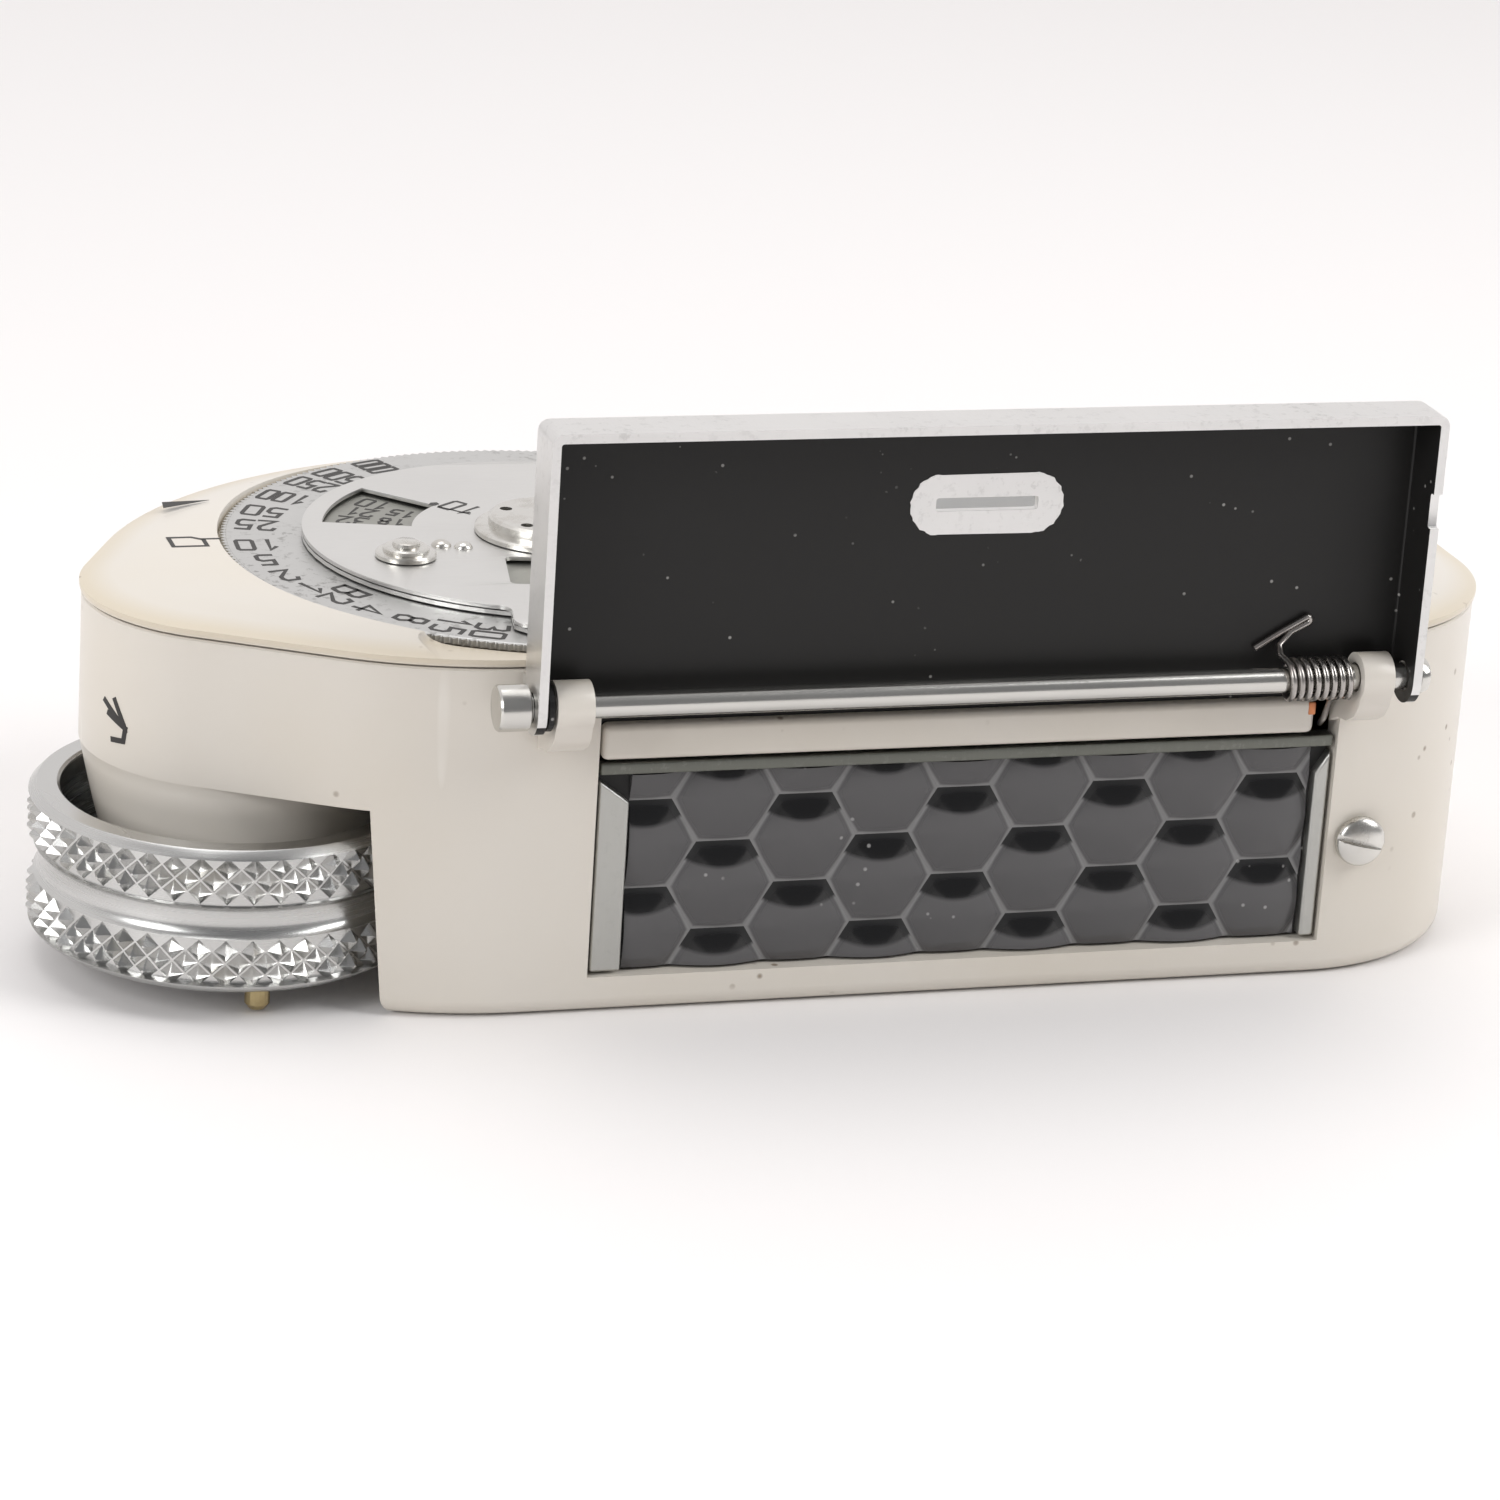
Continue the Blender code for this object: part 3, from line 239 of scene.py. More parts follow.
def blackMaterial():
    made, tree, shader = newMaterial("blackPaint", blackLook["colour"], blackLook["rough"])
    shader.inputs["Specular IOR Level"].default_value = 0.3
    where = place(tree)
    cells = add(tree, "ShaderNodeTexVoronoi", {}, {0: where, "Scale": 1500.0})
    dust = (1.0 - cells.above(0.10, 0.03)) * noise(tree, where, 260.0, 2.0).above(0.58, 0.02)
    cloud = noise(tree, place(tree, (0.3, 1, 2)), 120.0, 4.0)
    feed(tree, shader, "Base Color", blendColour(tree, dust * 0.6, blackLook["colour"], blackLook["dust"]))
    feed(tree, shader, "Roughness", cloud * 0.14 + (blackLook["rough"] - 0.06))
    bump(tree, shader, noise(tree, where, 700.0, 2.0), 0.12, 0.02)
    return made


# edge is a painted highlight colour for the cell rims; dark is a painted shade colour for the curved band
# under each cell's top edge
lensLook = {"glass": (0.082, 0.080, 0.082), "edge": (0.20, 0.198, 0.198), "dark": (0.006, 0.006, 0.0065),
            "rough": 0.14}


def lensMaterial():
    made, tree, shader = newMaterial("mouldedLens", lensLook["glass"], lensLook["rough"])
    where = place(tree)
    # painted highlight: the rim attribute and the lighter edge colour brighten the ridges between cells,
    # standing in for light catching them
    rim = add(tree, "ShaderNodeAttribute", {"attribute_name": "rim"}, out=2)
    crescent = add(tree, "ShaderNodeAttribute", {"attribute_name": "crescent"}, out=2)
    body = blendColour(tree, rim.above(0.955, 0.02), lensLook["glass"], lensLook["edge"])
    # painted shade: a near-black band under the top edge of each cell stands in for the dark curved band that
    # refraction shows in the glass
    shaded = blendColour(tree, crescent.above(0.6, 0.05), body, lensLook["dark"])
    cells = add(tree, "ShaderNodeTexVoronoi", {}, {0: where, "Scale": 1100.0})
    dust = (1.0 - cells.above(0.09, 0.03)) * noise(tree, where, 300.0, 2.0).above(0.57, 0.02)
    feed(tree, shader, "Base Color", blendColour(tree, dust * 0.5, shaded, (0.5, 0.49, 0.48)))
    feed(tree, shader, "Roughness",
         noise(tree, where, 200.0, 3.0) * 0.10 + (lensLook["rough"] - 0.03) + rim.above(0.9, 0.06) * 0.3)
    return made


def plainMaterial(name, colour, rough, metallic=0.0, vary=0.12):
    made, tree, shader = newMaterial(name, colour, rough, metallic)
    cloud = noise(tree, place(tree), 400.0, 4.0)
    feed(tree, shader, "Base Color",
         blendColour(tree, cloud * vary * 2, colour, tuple(c * 0.7 for c in colour)))
    feed(tree, shader, "Roughness", cloud * vary + (rough - vary / 2))
    bump(tree, shader, cloud, 0.1, 0.01)
    return made


print("materials")
enamel = enamelMaterial()
silver = satinMaterial("satinSilver", 0.0)
lidSilver = satinMaterial("lidAluminium", 0.25, (14, 1, 1), 0.34, (0.76, 0.755, 0.745))
ringMetal = satinMaterial("pittedRing", 0.85, (1, 1, 1), 0.38, (0.60, 0.60, 0.59))
frameMetal = satinMaterial("frameSteel", 0.15, (14, 1, 1), 0.38, (0.50, 0.50, 0.475))
discMetal = satinMaterial("agedDisc", 0.6, (1, 1, 1), 0.4, (0.36, 0.36, 0.33))
stripMetal = satinMaterial("agedStrip", 0.3, (14, 1, 1), 0.42, (0.17, 0.175, 0.155))
wheelMetal = turnedMaterial("turnedAluminium", (0.60, 0.60, 0.59), 0.26)
knurlMetal = metalMaterial("knurledAluminium", (0.62, 0.62, 0.61), 0.22, (0.35, 0.33, 0.28), 0.5)
rodSteel = turnedMaterial("brightSteel", (0.66, 0.65, 0.62), 0.22)
springSteel = metalMaterial("springWire", (0.42, 0.40, 0.38), 0.28, (0.15, 0.10, 0.08), 0.6)
screwSteel = metalMaterial("nickelScrew", (0.66, 0.65, 0.62), 0.26, (0.25, 0.20, 0.14), 0.5)
brass = metalMaterial("agedBrass", (0.46, 0.37, 0.20), 0.34, (0.30, 0.20, 0.09), 0.7)
black = blackMaterial()
inkBlack = plainMaterial("engravedInk", (0.022, 0.02, 0.018), 0.5)
glassLens = lensMaterial()
cellGrey = plainMaterial("seleniumGrey", (0.05, 0.045, 0.05), 0.35, 0.3)
boardBrown = plainMaterial("phenolicBoard", (0.10, 0.05, 0.03), 0.6)
whitePaint = plainMaterial("scaleWhite", (0.82, 0.80, 0.74), 0.5)
magnetGrey = metalMaterial("castMagnet", (0.22, 0.22, 0.22), 0.5)
copper = metalMaterial("copperWire", (0.55, 0.22, 0.11), 0.4)
clearGlass, glassTree, glassShader = newMaterial("clearGlass", (0.95, 0.97, 0.97), 0.04)
glassShader.inputs["Transmission Weight"].default_value = 0.95
feed(glassTree, glassShader, "Roughness", noise(glassTree, place(glassTree), 300.0) * 0.05 + 0.02)


# ---- mesh tools
def meshObject(name, bm, smooth=30.0):
    mesh = bpy.data.meshes.new(name)
    bm.to_mesh(mesh)
    bm.free()
    if smooth:
        mesh.shade_smooth()
        mesh.set_sharp_from_angle(angle=math.radians(smooth))
    obj = bpy.data.objects.new(name, mesh)
    bpy.context.scene.collection.objects.link(obj)
    return obj


def baked(obj, smooth=30.0):
    view = bpy.context.evaluated_depsgraph_get()
    mesh = bpy.data.meshes.new_from_object(obj.evaluated_get(view))
    obj.modifiers.clear()
    if obj.type != "MESH":
        made = bpy.data.objects.new(obj.name + "Mesh", mesh)
        bpy.context.scene.collection.objects.link(made)
        bpy.data.objects.remove(obj)
        obj = made
    obj.data = mesh
    if smooth:
        mesh.shade_smooth()
        mesh.set_sharp_from_angle(angle=math.radians(smooth))
    return obj


def carve(obj, *tools, operation="DIFFERENCE"):
    for tool in tools:
        mod = obj.modifiers.new("carve", "BOOLEAN")
        mod.operation = operation
        mod.object = tool
        mod.solver = "EXACT"
    bpy.context.view_layer.update()
    baked(obj)
    for tool in tools:
        bpy.data.objects.remove(tool)
    return obj


def soften(obj, width, segments=2, angle=40.0):
    mod = obj.modifiers.new("soften", "BEVEL")
    mod.width = width * mm
    mod.segments = segments
    mod.limit_method = "ANGLE"
    mod.angle_limit = math.radians(angle)
    mod.use_clamp_overlap = True
    mod.harden_normals = False
    bpy.context.view_layer.update()
    return evenNormals(baked(obj))


def evenNormals(obj):
    mod = obj.modifiers.new("even", "WEIGHTED_NORMAL")
    mod.keep_sharp = True
    mod.weight = 100
    bpy.context.view_layer.update()
    return baked(obj, 0)


def finished(obj, name, material, body, slot, *nodes):
    obj.name = name
    obj.data.name = name
    if material:
        obj.data.materials.clear()
        obj.data.materials.append(material)
    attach(obj, body)
    if nodes:
        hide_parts(*nodes)
    return obj


def block(name, low, high, round=0.0, segments=3):
    bm = bmesh.new()
    bmesh.ops.create_cube(bm, size=1.0)
    low, high = Vector(low), Vector(high)
    for vert in bm.verts:
        vert.co = Vector([(low[i] + high[i]) / 2 + vert.co[i] * (high[i] - low[i]) for i in range(3)]) * mm
    if round:
        bmesh.ops.bevel(bm, geom=bm.edges[:], offset=round * mm, segments=segments, profile=0.5,
                        affect="EDGES")
    return meshObject(name, bm)


def barrel(name, radius, start, length, axis="Z", steps=64, tip=None):
    bm = bmesh.new()
    bmesh.ops.create_cone(bm, cap_ends=True, segments=steps, radius1=radius * mm,
                          radius2=(radius if tip is None else tip) * mm, depth=length * mm)
    turn = {"Z": Matrix(), "X": Matrix.Rotation(math.pi / 2, 4, "Y"),
            "Y": Matrix.Rotation(-math.pi / 2, 4, "X")}[axis]
    move = Matrix.Translation(Vector(start) * mm) @ turn @ Matrix.Translation((0, 0, length * mm / 2))
    bmesh.ops.transform(bm, matrix=move, verts=bm.verts)
    return meshObject(name, bm)


def lathe(name, profile, at, steps=96, axis="Z", smooth=30.0):
    bm = bmesh.new()
    rings = []
    for radius, height in profile:
        if radius < 0.001:
            rings.append([bm.verts.new((0, 0, height * mm))])
            continue
        rings.append([bm.verts.new((radius * math.cos(2 * math.pi * k / steps) * mm,
                                    radius * math.sin(2 * math.pi * k / steps) * mm, height * mm))
                      for k in range(steps)])
    loop = list(zip(rings, rings[1:]))
    if len(rings[0]) > 1 and len(rings[-1]) > 1:
        loop.append((rings[-1], rings[0]))
    for upper, lower in loop:
        for k in range(steps):
            j = (k + 1) % steps
            corners = [upper[k % len(upper)], upper[j % len(upper)], lower[j % len(lower)],
                       lower[k % len(lower)]]
            corners = [v for i, v in enumerate(corners) if v not in corners[:i]]
            if len(corners) > 2:
                bm.faces.new(corners)
    bmesh.ops.recalc_face_normals(bm, faces=bm.faces[:])
    turn = {"Z": Matrix(), "X": Matrix.Rotation(math.pi / 2, 4, "Y"),
            "-Y": Matrix.Rotation(math.pi / 2, 4, "X")}[axis]
    bmesh.ops.transform(bm, matrix=Matrix.Translation(Vector(at) * mm) @ turn, verts=bm.verts)
    return meshObject(name, bm, smooth)


def stack(name, rings):
    bm = bmesh.new()
    rows = [[bm.verts.new(Vector(point) * mm) for point in ring] for ring in rings]
    for low, high in zip(rows, rows[1:]):
        for i in range(len(low)):
            k = (i + 1) % len(low)
            bm.faces.new((low[i], low[k], high[k], high[i]))
    bm.faces.new(rows[0][::-1])
    bm.faces.new(rows[-1])
    bmesh.ops.recalc_face_normals(bm, faces=bm.faces[:])
    return meshObject(name, bm)


def sheet(name, loops, low, high):
    curve = bpy.data.curves.new(name, "CURVE")
    curve.dimensions = "2D"
    curve.fill_mode = "BOTH"
    curve.extrude = (high - low) / 2 * mm
    for loop in loops:
        spline = curve.splines.new("POLY")
        spline.points.add(len(loop) - 1)
        for knot, (x, y) in zip(spline.points, loop):
            knot.co = (x * mm, y * mm, 0, 1)
        spline.use_cyclic_u = True
    source = bpy.data.objects.new(name, curve)
    bpy.context.scene.collection.objects.link(source)
    bpy.context.view_layer.update()
    made = baked(source, 0)
    bm = bmesh.new()
    bm.from_mesh(made.data)
    bmesh.ops.remove_doubles(bm, verts=bm.verts, dist=0.00001 * mm)
    bmesh.ops.translate(bm, vec=(0, 0, (low + high) / 2 * mm), verts=bm.verts)
    bmesh.ops.recalc_face_normals(bm, faces=bm.faces[:])
    bpy.data.objects.remove(made)
    return meshObject(name, bm)


def arc(cx, cy, radius, start, end, steps):
    turns = [math.radians(start + (end - start) * i / steps) for i in range(steps + 1)]
    return [(cx + radius * math.cos(a), cy + radius * math.sin(a)) for a in turns]


def wireMesh(name, points, radius, sides=6):
    curve = bpy.data.curves.new(name, "CURVE")
    curve.dimensions = "3D"
    curve.bevel_depth = radius * mm
    curve.bevel_resolution = sides
    curve.use_fill_caps = True
    spline = curve.splines.new("POLY")
    spline.points.add(len(points) - 1)
    for knot, point in zip(spline.points, points):
        knot.co = (*(Vector(point) * mm), 1)
    obj = bpy.data.objects.new(name, curve)
    bpy.context.scene.collection.objects.link(obj)
    bpy.context.view_layer.update()
    return baked(obj, 50.0)


# ---- body shape
bodyShape = {"right": 41.9, "endR": 9.5, "nose": (-14.5, -3.4, 7.1), "frontBlend": (-4.4, 16.3),
             "backBlend": (-0.4, 21.0), "seam": 15.9, "top": 16.85, "bottomRound": 0.8, "wall": 1.2,
             "stepZ": 9.3, "crownLip": 0.45, "crownWidth": 3.2, "proud": 0.1}
outline = ((bodyShape["right"] - bodyShape["endR"], front + bodyShape["endR"], bodyShape["endR"]),
           (bodyShape["right"] - bodyShape["endR"], -front - bodyShape["endR"], bodyShape["endR"]),
           (bodyShape["backBlend"][0], -front - bodyShape["backBlend"][1], bodyShape["backBlend"][1]),
           bodyShape["nose"],
           (bodyShape["frontBlend"][0], front + bodyShape["frontBlend"][1], bodyShape["frontBlend"][1]))


def tangent(first, second):
    dx, dy = second[0] - first[0], second[1] - first[1]
    return math.degrees(math.atan2(dy, dx) - math.acos((first[2] - second[2]) / math.hypot(dx, dy)))


def belt(inset, z, step=2.5):
    points = []
    for i, here in enumerate(outline):
        start = tangent(outline[i - 1], here)
        sweep = (tangent(here, outline[(i + 1) % len(outline)]) - start) % 360
        points += arc(here[0], here[1], here[2] - inset, start, start + sweep, max(2, round(sweep / step)))
    return [(x, y, z) for x, y in points]


notchLook = {"clear": 0.25, "flare": 0.8, "wallX": wheelX + 4.05}
wheelR = (wheelHigh.x - wheelLow.x) / 2 / mm


def notch(grow):
    top = bodyShape["stepZ"] + grow
    radius = wheelR + notchLook["clear"] + grow
    made = barrel("notch", radius + notchLook["flare"], (wheelX, wheelY, -2), top + 2, steps=144, tip=radius)
    side = block("notchSide", (-40, wheelY, -3), (notchLook["wallX"] + grow, 40, top - 0.002))
    return carve(made, side, operation="UNION")


neckLook = {"low": 5.2, "x": -15.2, "y": -5.2, "r": 5.5, "limit": 7.0}


def makeHousing():
    fillet = bodyShape["bottomRound"]
    rings = []
    for i in range(6):
        a = math.pi / 2 * i / 5
        rings.append(belt(fillet * (1 - math.sin(a)), fillet * (1 - math.cos(a))))
    rings.append(belt(0, bodyShape["seam"] - 0.08))
    rings.append(belt(0.08, bodyShape["seam"]))
    housing = stack("housing", rings)
    carve(housing, notch(0))
    nx, ny, nr = bodyShape["nose"]
    top = arc(nx, ny, nr - 0.015, 0, 360, 144)[:-1]
    low = arc(neckLook["x"], neckLook["y"], neckLook["r"], 0, 360, 144)[:-1]
    rings = []
    for i in range(9):
        t = i / 8
        bend = t ** 0.8
        z = neckLook["low"] + (bodyShape["stepZ"] - neckLook["low"]) * t
        rings.append([(a[0] + (b[0] - a[0]) * bend, a[1] + (b[1] - a[1]) * bend, z) for a,
                      b in zip(low, top)])
    rings.append([(x, y, bodyShape["stepZ"] + 0.5) for x, y in top])
    neck = stack("neck", rings)
    carve(neck, barrel("limit", neckLook["limit"], (wheelX, wheelY, 0), 20, steps=144), operation="INTERSECT")
    carve(housing, neck, operation="UNION")
    hollow = stack("hollow", [belt(bodyShape["wall"], -1), belt(bodyShape["wall"], 17)])
    carve(hollow, notch(bodyShape["wall"]))
    carve(housing, hollow)
    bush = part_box("wheel_bush")
    bore = (bush[1].x - bush[0].x) / 2 / mm + 0.1
    x0, x1 = frameLow.x / mm - 0.15, frameHigh.x / mm + 0.15
    carve(housing, barrel("bore", bore, (wheelX, wheelY, 0), 12),
          block("window", (x0, front - 1, frameLow.z / mm - 0.15), (x1, front + 1.6, 20)),
          block("mouth", (8.35, 12.5, -1), (28.85, 16, 3.3)))
    for x0, x1 in ((-4.15, -2.55), (32.2, 33.65)):
        top = rodZ - 0.3
        web = [(rodY - 0.93, top), (front + 0.3, top), (front + 0.3, top - 2.5), (front - 0.12, top - 2.25),
               (front - 0.55, top - 2.05), (rodY + 0.5, top - 1.9), (rodY - 0.3, top - 1.45),
               (rodY - 0.7, top - 0.9)]
        carve(housing, stack("web", [[(x0, y, z) for y, z in web], [(x1, y, z) for y, z in web]]),
              operation="UNION")
        carve(housing, barrel("lug", 1.1, (x0, rodY, rodZ), x1 - x0, "X", 48), operation="UNION")
    carve(housing, barrel("rodBore", 0.655, (-6, rodY, rodZ), 42, "X", 40),
          barrel("catchBore", 0.7, (34.1, front - 1, 6.48), 3, "Y", 24))
    soften(housing, 0.12, 2, 50.0)
    finished(housing, "enamelHousing", enamel, "root", "enamel", "lower_housing")


def makeCover():
    seam, lip, proud = bodyShape["seam"], bodyShape["crownLip"], bodyShape["proud"]
    rings = [belt(0.12, seam + 0.05), belt(-proud * 0.6, seam + 0.14), belt(-proud, seam + 0.28),
             belt(-proud, seam + lip)]
    rise = bodyShape["top"] - seam - lip
    for i in range(1, 13):
        t = i / 12
        rings.append(belt(bodyShape["crownWidth"] * t - proud, seam + lip + rise * math.sin(math.pi / 2 * t)))
    cover = stack("cover", rings)
    bar = block("bar", (-1.25, front + 0.02, 11.6), (31.4, front + 1.2, 13.2), 0.3)
    # painted shade: a black block set back above the bar stands in for the shaded gap between the lid plate
    # and the bar
    web = block("barWeb", (-1.24, front + 0.62, 13.0), (31.39, front + 1.15, 16.1))
    spigot = stack("spigot", [belt(1.35, 15.4), belt(1.35, 16.15)])
    carve(cover, spigot, bar, operation="UNION")
    ringR = (ringHigh.x - ringLow.x) / 2 / mm
    relief = block("relief", (-9.2, front - 2, 16.35), (9.2, front + 3.0, 19), 0.9, 6)
    pane = block("pane", (paneLow.x / mm - 0.12, paneLow.y / mm - 0.12, 10),
                 (paneHigh.x / mm + 0.12, paneHigh.y / mm + 0.12, 20))
    carve(cover, barrel("pocket", ringR + 0.15, (0, 0, 16.15), 3, steps=180),
          barrel("hub", 3.5, (0, 0, 10), 10),
          relief, pane)
    soften(cover, 0.1, 2, 50.0)
    finished(cover, "enamelCover", enamel, "root", "enamel", "top_cover")
    # the black block above the bar is painted shade for the gap behind the lid plate
    finished(web, "barWeb", black, "root", "black_paint")
    chip = block("chip", (31.05, front - 0.02, 12.5), (31.38, front + 0.1, 13.1), 0.05, 2)
    finished(chip, "bareCopper", copper, "root", "copper")


print("casing")
makeHousing()
makeCover()


# ---- geometry nodes
def newTree(name, inputs):
    tree = bpy.data.node_groups.new(name, "GeometryNodeTree")
    tree.interface.new_socket("Geometry", in_out="OUTPUT", socket_type="NodeSocketGeometry")
    for label, kind in inputs:
        tree.interface.new_socket(label, in_out="INPUT", socket_type="NodeSocket" + kind)
    source = tree.nodes.new("NodeGroupInput")
    sockets = {label: Val(tree, source.outputs[label]) for label, kind in inputs}
    return tree, sockets


def closeTree(tree, geometry, material):
    real = add(tree, "GeometryNodeRealizeInstances", {}, {0: geometry})
    painted = add(tree, "GeometryNodeSetMaterial", {}, {0: real, "Material": material})
    sink = tree.nodes.new("NodeGroupOutput")
    tree.links.new(painted.socket, sink.inputs[0])


def grown(name, tree, values, smooth=0.0):
    obj = meshObject(name, bmesh.new(), 0)
    mod = obj.modifiers.new("grow", "NODES")
    mod.node_group = tree
    for item in tree.interface.items_tree:
        if item.in_out == "INPUT" and item.name in values:
            mod[item.identifier] = values[item.name]
    bpy.context.view_layer.update()
    return baked(obj, smooth)


def bandTree(name):
    sizes = [("Stud", "Object"), ("Count", "Int"), ("Rows", "Int"),
             ("Radius", "Float"), ("Row Height", "Float"), ("Base", "Vector"),
             ("Material", "Material")]
    tree, given = newTree(name, sizes)
    index = add(tree, "GeometryNodeInputIndex")
    row = (index.maths("DIVIDE", given["Count"]) + 0.0001).maths("FLOOR")
    column = index - row * given["Count"] + row.maths("MODULO", 2.0) * 0.5
    angle = column.maths("DIVIDE", given["Count"]) * (2 * math.pi)
    spot = add(tree, "ShaderNodeCombineXYZ", {}, {0: angle.maths("COSINE") * given["Radius"],
                                                  1: angle.maths("SINE") * given["Radius"],
                                                  2: row * given["Row Height"]})
    spot = add(tree, "ShaderNodeVectorMath", {"operation": "ADD"}, {0: spot, 1: given["Base"]})
    line = add(tree, "GeometryNodeMeshLine", {}, {"Count": given["Count"].maths("MULTIPLY", given["Rows"])})
    points = add(tree, "GeometryNodeSetPosition", {}, {0: line, "Position": spot})
    turn = add(tree, "ShaderNodeCombineXYZ", {}, {2: angle})
    stud = add(tree, "GeometryNodeObjectInfo", {}, {0: given["Stud"]}, 4)
    copies = add(tree, "GeometryNodeInstanceOnPoints", {}, {0: points, 2: stud, "Rotation": turn})
    closeTree(tree, copies, given["Material"])
    return tree


def gridTree(name):
    sizes = [("Cell", "Object"), ("Columns", "Int"), ("Rows", "Int"),
             ("Column Step", "Float"), ("Row Step", "Float"),
             ("Start", "Vector"),
             ("Material", "Material")]
    tree, given = newTree(name, sizes)
    index = add(tree, "GeometryNodeInputIndex")
    column = (index.maths("DIVIDE", given["Rows"]) + 0.0001).maths("FLOOR")
    row = index - column * given["Rows"] + column.maths("MODULO", 2.0) * 0.5
    spot = add(tree, "ShaderNodeCombineXYZ", {},
               {0: column * given["Column Step"], 2: row * given["Row Step"]})
    spot = add(tree, "ShaderNodeVectorMath", {"operation": "ADD"}, {0: spot, 1: given["Start"]})
    line = add(tree, "GeometryNodeMeshLine", {}, {"Count": given["Columns"].maths("MULTIPLY", given["Rows"])})
    points = add(tree, "GeometryNodeSetPosition", {}, {0: line, "Position": spot})
    cell = add(tree, "GeometryNodeObjectInfo", {}, {0: given["Cell"]}, 4)
    copies = add(tree, "GeometryNodeInstanceOnPoints", {}, {0: points, 2: cell})
    closeTree(tree, copies, given["Material"])
    return tree


# ---- coupling wheel
wheelShape = {"inner": 7.4, "bottom": 1.3, "height": 6.6, "studs": 46, "rowHeight": 0.56, "studDepth": 0.46,
              "studWidth": 1.24, "bands": (2.16, 5.9), "rows": 3}


def knurlStud():
    width, deep = wheelShape["studWidth"] / 2 * mm, wheelShape["studDepth"] * mm
    bm = bmesh.new()
    turns = [math.pi / 2 * i for i in range(4)]
    feet = [bm.verts.new((-0.1 * mm, width * math.cos(a), width * math.sin(a))) for a in turns]
    tips = [bm.verts.new((deep, width * 0.1 * math.cos(a), width * 0.1 * math.sin(a))) for a in turns]
    for i in range(4):
        bm.faces.new((feet[i], feet[(i + 1) % 4], tips[(i + 1) % 4], tips[i]))
    bm.faces.new(tips)
    bm.faces.new(feet[::-1])
    return meshObject("knurlStud", bm, 0)


def makeWheel():
    shape = wheelShape
    bottom, inner, r = shape["bottom"], shape["inner"], wheelR
    top = bottom + shape["height"]
    root = r - shape["studDepth"]
    groove = r - 0.62
    profile = [(inner + 0.12, top), (r - 0.42, top), (r - 0.34, top - 0.06), (r - 0.06, top - 0.36),
               (root + 0.05, top - 0.42), (root, top - 0.5), (root, 5.36), (r - 0.3, 5.32),
               (groove + 0.16, 5.2)]
    profile += [(groove + 0.05, 5.0), (groove, 4.6), (groove + 0.05, 4.2), (groove + 0.16, 4.0),
                (r - 0.3, 3.88)]
    profile += [(root, 3.84), (root, bottom + 0.56), (r - 0.12, bottom + 0.5), (r - 0.2, bottom + 0.36)]
    profile += [(r - 0.8, bottom), (2.4, bottom), (2.4, bottom + 0.5), (1.25, bottom + 0.5),
                (1.25, bottom + 1.2), (inner - 0.2, bottom + 1.2), (inner, bottom + 1.4), (inner, top - 0.12)]
    wheel = lathe("wheel", profile, (wheelX, wheelY, 0), 144)
    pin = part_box("coupling_pin")
    spot = ((pin[0].x + pin[1].x) / 2 / mm, (pin[0].y + pin[1].y) / 2 / mm, 0)
    carve(wheel, barrel("pinHole", 0.62, spot, 4, steps=32))
    finished(evenNormals(wheel), "turnedWheel", wheelMetal, "wheel", "aluminium", "coupling_wheel")
    stud = knurlStud()
    tree = bandTree("knurlBand")
    for name, z in zip(("lowerKnurl", "upperKnurl"), shape["bands"]):
        values = {"Stud": stud, "Count": shape["studs"], "Rows": shape["rows"], "Radius": (root - 0.02) * mm,
                  "Row Height": shape["rowHeight"] * mm, "Base": (wheelX * mm, wheelY * mm, z * mm),
                  "Material": knurlMetal}
        finished(grown(name, tree, values), name, knurlMetal, "wheel", "aluminium")
    bpy.data.objects.remove(stud)
    print("wheel")


# ---- lens and its frame
lensShape = {"columnStep": 3.62, "rowStep": 4.05, "columns": 10, "rows": 4, "rise": 0.42,
             "start": (0.95, -0.6)}


def hexCell():
    wide, high = lensShape["columnStep"] / 1.5, lensShape["rowStep"] / 2
    corners = [(wide, 0), (wide / 2, high), (-wide / 2, high), (-wide, 0), (-wide / 2, -high),
               (wide / 2, -high)]
    rim = []
    for (x0, z0), (x1, z1) in zip(corners, corners[1:] + corners[:1]):
        rim += [(x0 + (x1 - x0) * t / 8, z0 + (z1 - z0) * t / 8) for t in range(8)]
    bm = bmesh.new()
    # this float layer marks the cell rims, where the lens material paints a highlight
    rimHighlightLayer = bm.verts.layers.float.new("rim")
    # this float layer drives painted shade under each cell's top edge
    refractionShadeLayer = bm.verts.layers.float.new("crescent")
    rows = []
    for share in (1.0, 0.97, 0.94, 0.88, 0.8, 0.7, 0.6, 0.5, 0.4, 0.3, 0.2, 0.1):
        row = []
        for x, z in rim:
            rounding = 1 + (1 - share) ** 0.5 * (high / math.hypot(x, z) - 1)
            px, pz = x * share * rounding, z * share * rounding
            vert = bm.verts.new((px * mm, -lensShape["rise"] * (1 - share ** 2) * mm, pz * mm))
            vert[rimHighlightLayer] = share
            # painted shade weight, highest towards the top of the cell and fading at its sides
            vert[refractionShadeLayer] = pz / high + 0.16 * (1 - (px / wide) ** 2 * 2.2)
            row.append(vert)
        rows.append(row)
    tip = bm.verts.new((0, -lensShape["rise"] * mm, 0))
    tip[refractionShadeLayer] = 0.16
    back = [bm.verts.new((x * mm, 0.5 * mm, z * mm)) for x, z in rim]
    for vert in back:
        vert[rimHighlightLayer] = 1.0
    count = len(rim)
    for first, second in zip([back] + rows, rows):
        for i in range(count):
            bm.faces.new((first[i], first[(i + 1) % count], second[(i + 1) % count], second[i]))
    for i in range(count):
        bm.faces.new((rows[-1][i], rows[-1][(i + 1) % count], tip))
    bm.faces.new(back[::-1])
    bmesh.ops.recalc_face_normals(bm, faces=bm.faces[:])
    return meshObject("hexCell", bm, 60)


